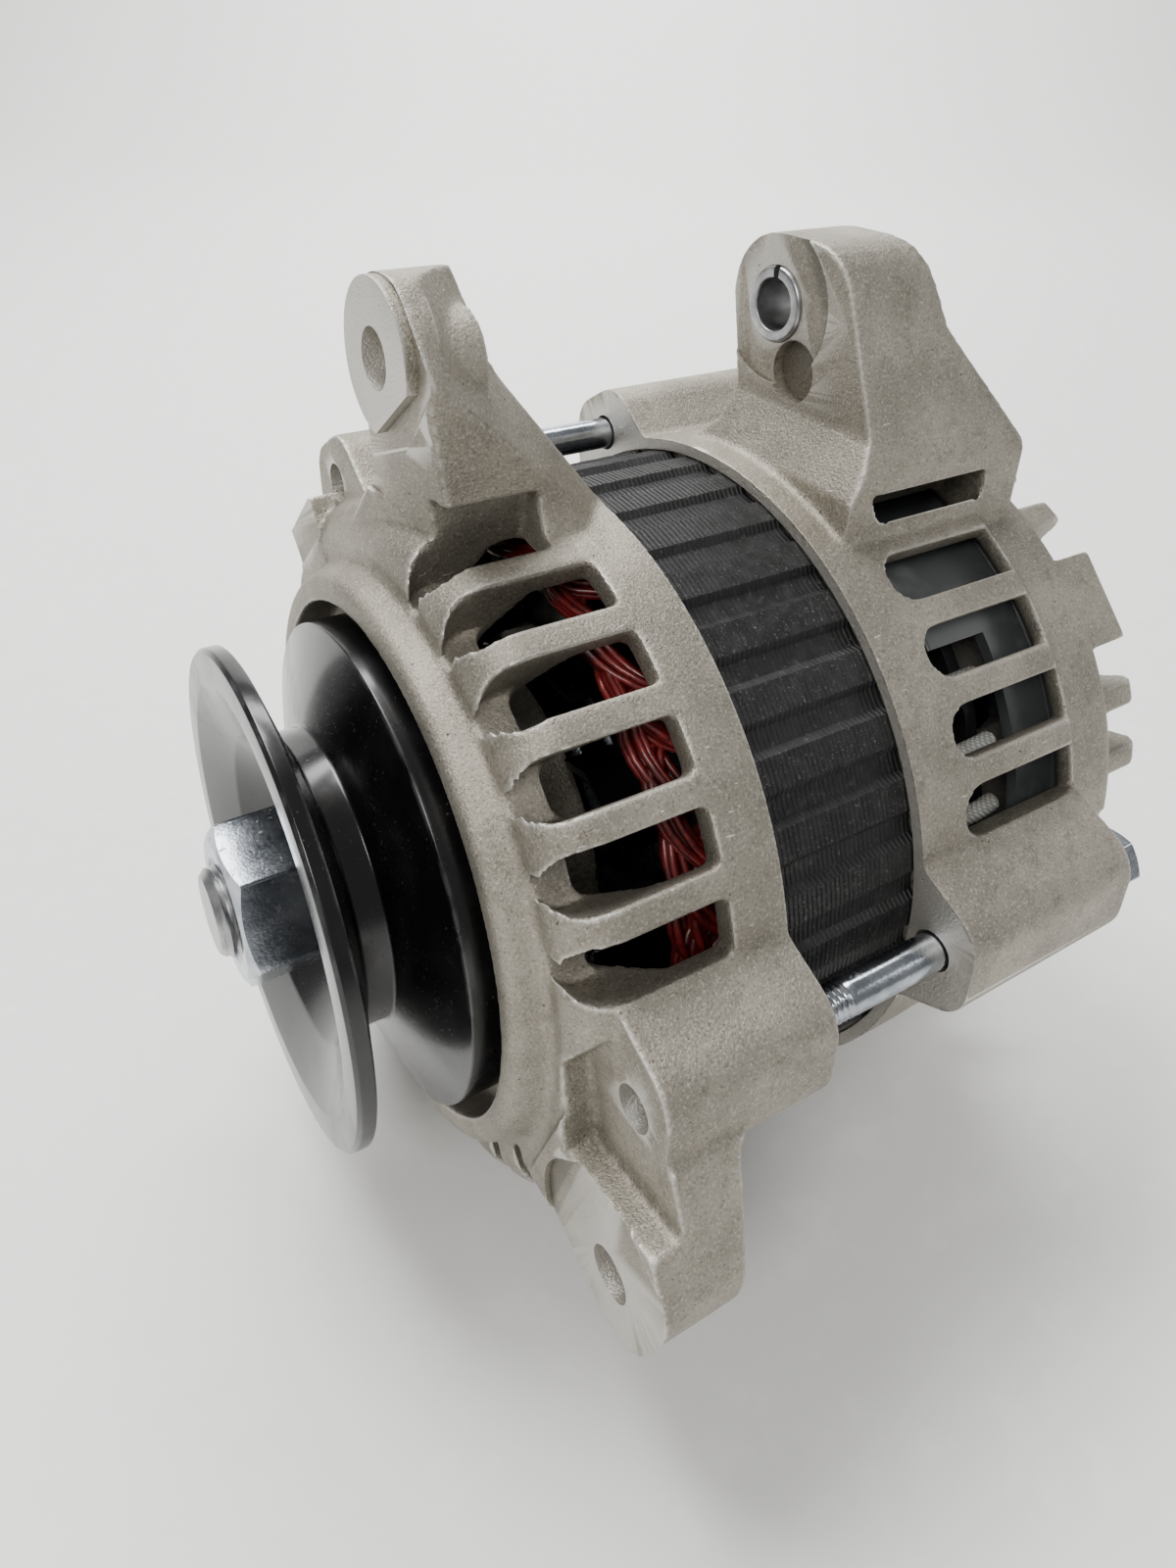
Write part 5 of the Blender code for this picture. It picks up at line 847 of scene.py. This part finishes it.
def rear_casting():
    body = turned([
        (82.2, 0), (82.2, RIM), (117.4, RIM, 1.5), (119.4, 57.4), (129.2, 57.4, 3), (134, 52.5, 1), (134, 0),
    ])
    firsts = [bolt + FIRST_SLOT - SLOT_PITCH / 2 for bolt in BOLTS]
    fin = rounded([(132, 26), (138.3, 26, 1), (142.6, FIN_OUTER, 3), (132, FIN_OUTER)])
    fin = flat(fin, -FIN_THICK / 2, FIN_THICK, lengthwise(0))
    fins = spun(fin, back_places([first + SLOT_PITCH * i for first in firsts for i in (3, 4, 7, 8)]))
    width = SLOT_PITCH * FIN_OUTER + FIN_THICK
    tab = rounded([(132, 45), (142.6, 45, 1), (142.6, FIN_OUTER, 3), (132, FIN_OUTER)])
    tab = flat(tab, -width / 2, width, lengthwise(0))
    tab_places = back_places([first + SLOT_PITCH * 5.5 for first in firsts])
    mesh = combined(body, "UNION", [*bosses(82.2, 37.0), rear_pivot_ear(), fins, spun(tab, tab_places)])
    hollow = turned([
        (80, 0), (80, 55.4), (118.5, 55.4), (120.5, 53.4), (128.4, 53.4), (130.4, 49.4), (130.4, 22, 2),
        (114, 22), (114, 17.2), (126.8, 17.2), (126.8, 0),
    ])
    slots = slot_blocks(92.5, 118.5, 50, open_slots([EAR_ROOM]))
    inlet = rounded([(-2.7, 29, 2), (2.7, 29, 2), (2.7, 47, 1.5), (-2.7, 47, 1.5)])
    inlet = flat(inlet, 128.4, 7.6, facing(0))
    inlets = spun(inlet, back_places(open_slots([(place, SLOT_PITCH / 3) for place in tab_places])))
    window = flat([(-10.3, 29.7), (10.3, 29.7), (10.3, 42.3), (-10.3, 42.3)], 128.4, 7.6, facing(-PIVOT))
    return cast(combined(mesh, "DIFFERENCE", [hollow, slots, inlets, window]))


# %% Rear bracket: machining
def rear_bracket():
    rim_face = turned([(80, 0), (80, 75), (82.8, 75), (82.8, 0)])
    register = turned([(80, 0), (80, 57.5), (84.3, 57.5), (84.3, 0)])
    seat = turned([(112, 0), (112, 17.8), (127.3, 17.8), (127.3, 0)])
    ear = rod(84, 9.3, 12.5, (0, PIVOT_RISE))
    recess = rod(86, 9.5, 5, (-6, PIVOT_RISE - 9.5))
    tools = [rim_face, register, seat, ear, recess, rod(86, 45, 6.1, (0, PIVOT_RISE))]
    for angle in BOLTS:
        tools.append(rod(80, 42, 3.3, polar(BOLT_CIRCLE, angle)))
        tools.append(rod(119.2, 20, 7.1, polar(BOLT_CIRCLE, angle)))
    tools.append(rod(126, 10, 6.3, OUTPUT))
    mesh = combined(rear_casting(), "DIFFERENCE", tools, "MANIFOLD", 1)
    return piece("rear_casting", mesh, [CAST, MACHINED], "housing", ["rear_bracket"])


rear_bracket()

# %% [markdown]
# ## The pulley
# A steel wheel turned in a lathe: one outline, spun once, with a small round on every corner. The
# V groove has straight sides for the belt and a flat floor that the belt never touches.


# %% Pulley
def pulley():
    mesh = turned([
        (9.7, 8.8), (9.7, 19, 1.5), (3.6, 25.5, 2), (0, 35, 0.8), (0, 39.9, 0.35), (0.6, 40.5, 0.35),
        (2.75, 40.5, 0.3), (7.475, 24.5, 0.8), (12.275, 24.5, 0.8), (17, 40.5, 0.3), (24.9, 40.5, 0.35),
        (25.5, 39.9, 0.35), (25.5, 36, 0.5), (16.775, 20, 1), (25.5, 20, 0.5), (25.5, 8.8),
    ], 192)
    return piece("pulley_wheel", mesh, [BLACK], "rotor", ["pulley"])


pulley()

# %% [markdown]
# ## The stator's plates
# Some thirty thin plates make the core. Each is a ring with grooves outside and slots for wire
# inside. One outline is extruded plate by plate, and every plate's edge steps in a little where it
# meets the next, so the fine lines are real.


# %% Stator core
TEETH = 36
STACK_START = 55.5
STACK_END = 84.0
STACK_RADIUS = 57.2
GROOVE = ((57.14, -2.6), (56.1, -1.5), (56.0, 0), (56.1, 1.5), (57.14, 2.6), (56.98, 5.0))
WIRE_SLOT = (
    (43.49, -1), (45.4, -1), (46.2, -2), (52.35, -2), (52.35, 2), (46.2, 2), (45.4, 1), (43.49, 1),
)


def core_outline():
    """One plate's outer edge, with its shallow grooves, and its inner edge, with slots for wire."""
    turns = [Matrix.Rotation(2 * pi * i / TEETH, 2) for i in range(TEETH)]
    outer = [turn @ Vector(point) for turn in turns for point in GROOVE]
    inner = [turn @ Vector(point) for turn in turns for point in WIRE_SLOT]
    return outer, inner


def stator_core(plates=33):
    outer, inner = core_outline()
    thick = (STACK_END - STACK_START) / plates
    chance = random.Random(4)
    shape = bmesh.new()

    def loop(points, along, shrink=0.0):
        scale = 1 - shrink / STACK_RADIUS
        verts = [shape.verts.new((point.x * scale, point.y * scale, along)) for point in points]
        return [shape.edges.new((verts[i - 1], verts[i])) for i in range(len(verts))]

    rings = []
    for i in range(plates):
        step = chance.uniform(0.0, 0.08)
        for share, drop in ((0.0, 0.2), (0.18, 0.0), (0.82, 0.0)):
            rings.append(loop(outer, STACK_START + thick * (i + share), drop + step))
    rings.append(loop(outer, STACK_END, 0.2))
    for first, second in zip(rings, rings[1:]):
        bmesh.ops.bridge_loops(shape, edges=first + second)
    front = loop(inner, STACK_START)
    back = loop(inner, STACK_END)
    bmesh.ops.bridge_loops(shape, edges=front + back)
    bmesh.ops.triangle_fill(shape, use_beauty=True, edges=rings[0] + front)
    bmesh.ops.triangle_fill(shape, use_beauty=True, edges=rings[-1] + back)
    mesh = mesh_from(shape)
    return piece("core_plates", mesh, [PLATES], "housing", ["stator_core"], radians(25))


stator_core()

# %% [markdown]
# ## The winding
# Each coil is a bundle of enamelled wires that leaves one slot, arches over and goes back in three
# slots on. A curve with a small round bevel follows each wire, and a seeded random shift keeps the
# bundles from looking machine-perfect.


# %% Round wires along paths
def wires(paths, radius, roundness, fineness):
    """One mesh of round wires, each of which follows a list of points."""
    curve = bpy.data.curves.new("wires", "CURVE")
    curve.dimensions = "3D"
    curve.bevel_depth = radius
    curve.bevel_resolution = roundness
    curve.use_fill_caps = True
    for path in paths:
        spline = curve.splines.new("NURBS")
        spline.points.add(len(path) - 1)
        for point, place in zip(spline.points, path):
            point.co = (*place, 1)
        spline.use_endpoint_u = True
        spline.order_u = 3
        spline.resolution_u = fineness
    holder = bpy.data.objects.new("wires", curve)
    bpy.context.scene.collection.objects.link(holder)
    return baked(holder)


# %% Winding
def winding(face, outward, seed):
    chance = random.Random(seed)
    paths = []
    for coil in range(TEETH):
        start = 2 * pi * coil / TEETH
        for wire in range(7):
            layer = wire % 3
            level = wire // 3
            lean = chance.uniform(-0.012, 0.012)
            tall = 11.2 - 1.9 * level + chance.uniform(-0.9, 0.5)
            points = []
            for i in range(11):
                share = i / 10
                angle = start + lean + radians(30) * (share - 0.5) + radians(15)
                radius = 46.4 + 4.2 * share + 1.25 * layer * (1 - 0.3 * share) + chance.uniform(-0.15, 0.15)
                arch = max(sin(pi * share), 0) ** 0.55
                points.append((*polar(min(radius, 52.1), angle), face + outward * (tall * arch - 0.6)))
            paths.append(points)
    return wires(paths, 0.62, 1, 1)


mesh = merged([winding(STACK_START, -1, 11), winding(STACK_END, 1, 23)])
piece("coil_bundles", mesh, [WIRE], "housing", ["stator_winding"], radians(80))

# %% [markdown]
# ## Threads and hexagons
# A thread is a turned rod whose skin is pulled in along a helix: how deep depends on how far round
# and how far along a point lies. A hexagon head is a six-sided bar cut with a turned cone, which
# takes its corners off and leaves the curved edges that real nuts have.


# %% Threaded rods
def threaded(start, length, radius, pitch, depth, chamfer=0.0, steps=36):
    """A rod with a thread that fades out in its last turn; its start is chamfered."""
    rings = ceil(length / pitch * 6)
    skin = [(start + length * i / rings, radius) for i in range(rings + 1)]
    mesh = turned([(start, 0), *skin, (start + length, 0)], steps)
    for vert in mesh.vertices:
        away = Vector(vert.co[:2])
        if away.length < radius / 2:
            continue
        along = vert.co.z - start
        phase = (along / pitch - atan2(away.y, away.x) / (2 * pi)) % 1
        fade = max(0, min(1, (length - along) / pitch))
        limit = radius - max(0, chamfer - along)
        away *= min(limit, radius - depth * fade * abs(2 * phase - 1)) / away.length
        vert.co = (*away, vert.co.z)
    return mesh


# %% Hexagons and washers
def hexagon(flats, start, length, front=0.0, back=0.0, turn=0.0, bore=0.0):
    """A six-sided bar; front and back are how far its turned-off corners reach along it."""
    corner = flats / 2 / cos(pi / 6)
    brim = 0.04 * flats
    outline = rounded([(*polar(corner, turn + pi / 3 * i), brim) for i in range(6)])
    end = start + length
    face = 0.47 * flats
    clear = corner + 0.2
    cone = [(start, clear), (end, clear)]
    if front:
        cone[:1] = [(start, face, 0.2), (start + front, clear)]
    if back:
        cone[-1:] = [(end - back, clear), (end, face, 0.2)]
    bar = flat(outline, start - 1, length + 2)
    mesh = combined(bar, "INTERSECT", [turned([(start, 0), *cone, (end, 0)])])
    if bore:
        hole = turned([
            (start - 1, 0), (start - 1, bore + 2), (start + 1, bore), (end - 1, bore), (end + 1, bore + 2),
            (end + 1, 0),
        ])
        mesh = combined(mesh, "DIFFERENCE", [hole])
    return mesh


def washer(start, thick, bore, radius, split=0.0, angle=0.0):
    """A stamped ring with rounded edges, cut through once if it is a spring washer."""
    brim = min(thick, radius - bore) * 0.3
    end = start + thick
    mesh = turned([
        (start, bore, brim / 2), (start, radius, brim), (end, radius, brim), (end, bore, brim / 2),
    ], 72)
    if split:
        outline = [(-split / 2, 0), (split / 2, 0), (split / 2, radius + 2), (-split / 2, radius + 2)]
        lean = Matrix.Rotation(angle - pi / 2, 4, "Z")
        mesh = combined(mesh, "DIFFERENCE", [flat(outline, start - 1, thick + 2, lean)])
    return mesh


def at(mesh, centre):
    mesh.transform(Matrix.Translation((*centre, 0)))
    return mesh


# %% Through bolts
for index, angle in enumerate(BOLTS):
    centre = polar(BOLT_CIRCLE, angle)
    number = str(index + 1)
    shank = turned([(64.5, 0), (64.5, 2.5), (65.5, 2.9, 0.5), (121.4, 2.9), (121.4, 0)], 36)
    head = hexagon(10, 121, 4.4, back=0.7, turn=angle)
    bolt = at(merged([threaded(31.4, 33.6, 2.9, 1.0, 0.5, 0.6), shank, head]), centre)
    piece("bolt_" + number, bolt, [ZINC], "housing", ["through_bolt_" + number], radians(40))
    rings = [washer(119.5, 0.75, 3.2, 6.4), washer(120.3, 0.7, 3.2, 5.3, 0.7, 0.6)]
    rings = at(merged(rings), centre)
    piece("bolt_rings_" + number, rings, [ZINC], "housing", ["bolt_washer_" + number])

# %% Pulley nut, lock washer, spacer and shaft
nut = hexagon(24, -5.9, 13, 1.5, 1.5, radians(8), 7.8)
piece("wheel_nut", nut, [ZINC], "rotor", ["pulley_nut"])
lock = washer(7.4, 2, 8.8, 12.4, 1.6, PIVOT)
piece("wheel_lock_washer", lock, [ZINC], "rotor", ["pulley_lock_washer"])
spacer = turned([(25.8, 8.8), (25.8, 12.5, 0.5), (31.2, 12.5, 0.5), (31.2, 8.8)], 72)
piece("wheel_spacer", spacer, [STEEL], "rotor", ["pulley_spacer"])
shaft = turned([
    (8.6, 0), (8.6, 7.2), (9.6, 8.5), (45.8, 8.5, 0.5), (45.8, 11, 0.5), (89.85, 11, 0.5), (89.85, 8.5, 0.5),
    (115.7, 8.5, 0.4), (115.7, 7.5, 0.3), (127, 7.5, 0.8), (127, 0),
], 72)
shaft = merged([threaded(-8.3, 17.5, 7.5, 1.5, 0.8, 1.3, 72), shaft])
piece("ground_shaft", shaft, [STEEL], "rotor", ["rotor_shaft"])

# %% Output stud, its nut and insulator
head = hexagon(10, 114.6, 3.6, front=0.6)
stud = merged([rod(117.5, 12, 3, steps=36), threaded(129, 18.9, 3, 1.0, 0.5), head])
piece("threaded_stud", at(stud, OUTPUT), [ZINC], "housing", ["output_stud"], radians(40))
collar = turned([
    (121.3, 3.3), (121.3, 6, 0.4), (134.3, 6), (134.3, 8.5, 0.4), (137.3, 8.5, 0.8), (137.3, 3.3, 0.3),
], 72)
piece("stud_collar", at(collar, OUTPUT), [BLACK_PLASTIC], "housing", ["stud_insulator"])
ring = at(washer(137.6, 1.2, 3.3, 6.4), OUTPUT)
piece("stud_ring", ring, [ZINC], "housing", ["stud_washer"])
stud_nut = at(hexagon(10, 139.1, 5, 0.6, 0.6, 0, 3.3), OUTPUT)
piece("stud_hexagon", stud_nut, [ZINC], "housing", ["stud_nut"])

# %% Split bush, baffle and leads
NOTCH = [radians(136), radians(156), radians(176)]
LEADS = [radians(143), radians(156), radians(169)]
# Each sleeved lead runs along the same five points (radius, along) as in the CAD model.
LEAD_PATH = ((49, 96.97), (49.6, 100.9), (49.6, 104.8), (49.3, 108), (48.9, 109.97))

bush = at(washer(92.6, 16.2, 4.15, 6, 1.2, PIVOT), (0, PIVOT_RISE))
piece("split_bush", bush, [STEEL], "housing", ["pivot_bush"])
shell = turned([
    (99.6, 50.3, 0.6), (99.6, 52.3, 0.6), (121.1, 52.3, 0.4), (121.1, 53.1, 0.4), (128.1, 53.1, 0.6),
    (128.1, 50.3, 0.6),
], 120)
arc = [polar(48, angle) for angle in NOTCH] + [polar(60, angle) for angle in reversed(NOTCH)]
shell = combined(shell, "DIFFERENCE", [flat(arc, 98, 14.1)])
piece("grey_shell", shell, [GREY_PLASTIC], "housing", ["rear_baffle"])
for index, angle in enumerate(LEADS):
    number = str(index + 1)
    path = [(*polar(radius, angle), along) for radius, along in LEAD_PATH]
    lead = wires([path], 1.6, 4, 6)
    piece("sleeved_lead_" + number, lead, [SLEEVE], "housing", ["stator_lead_" + number])
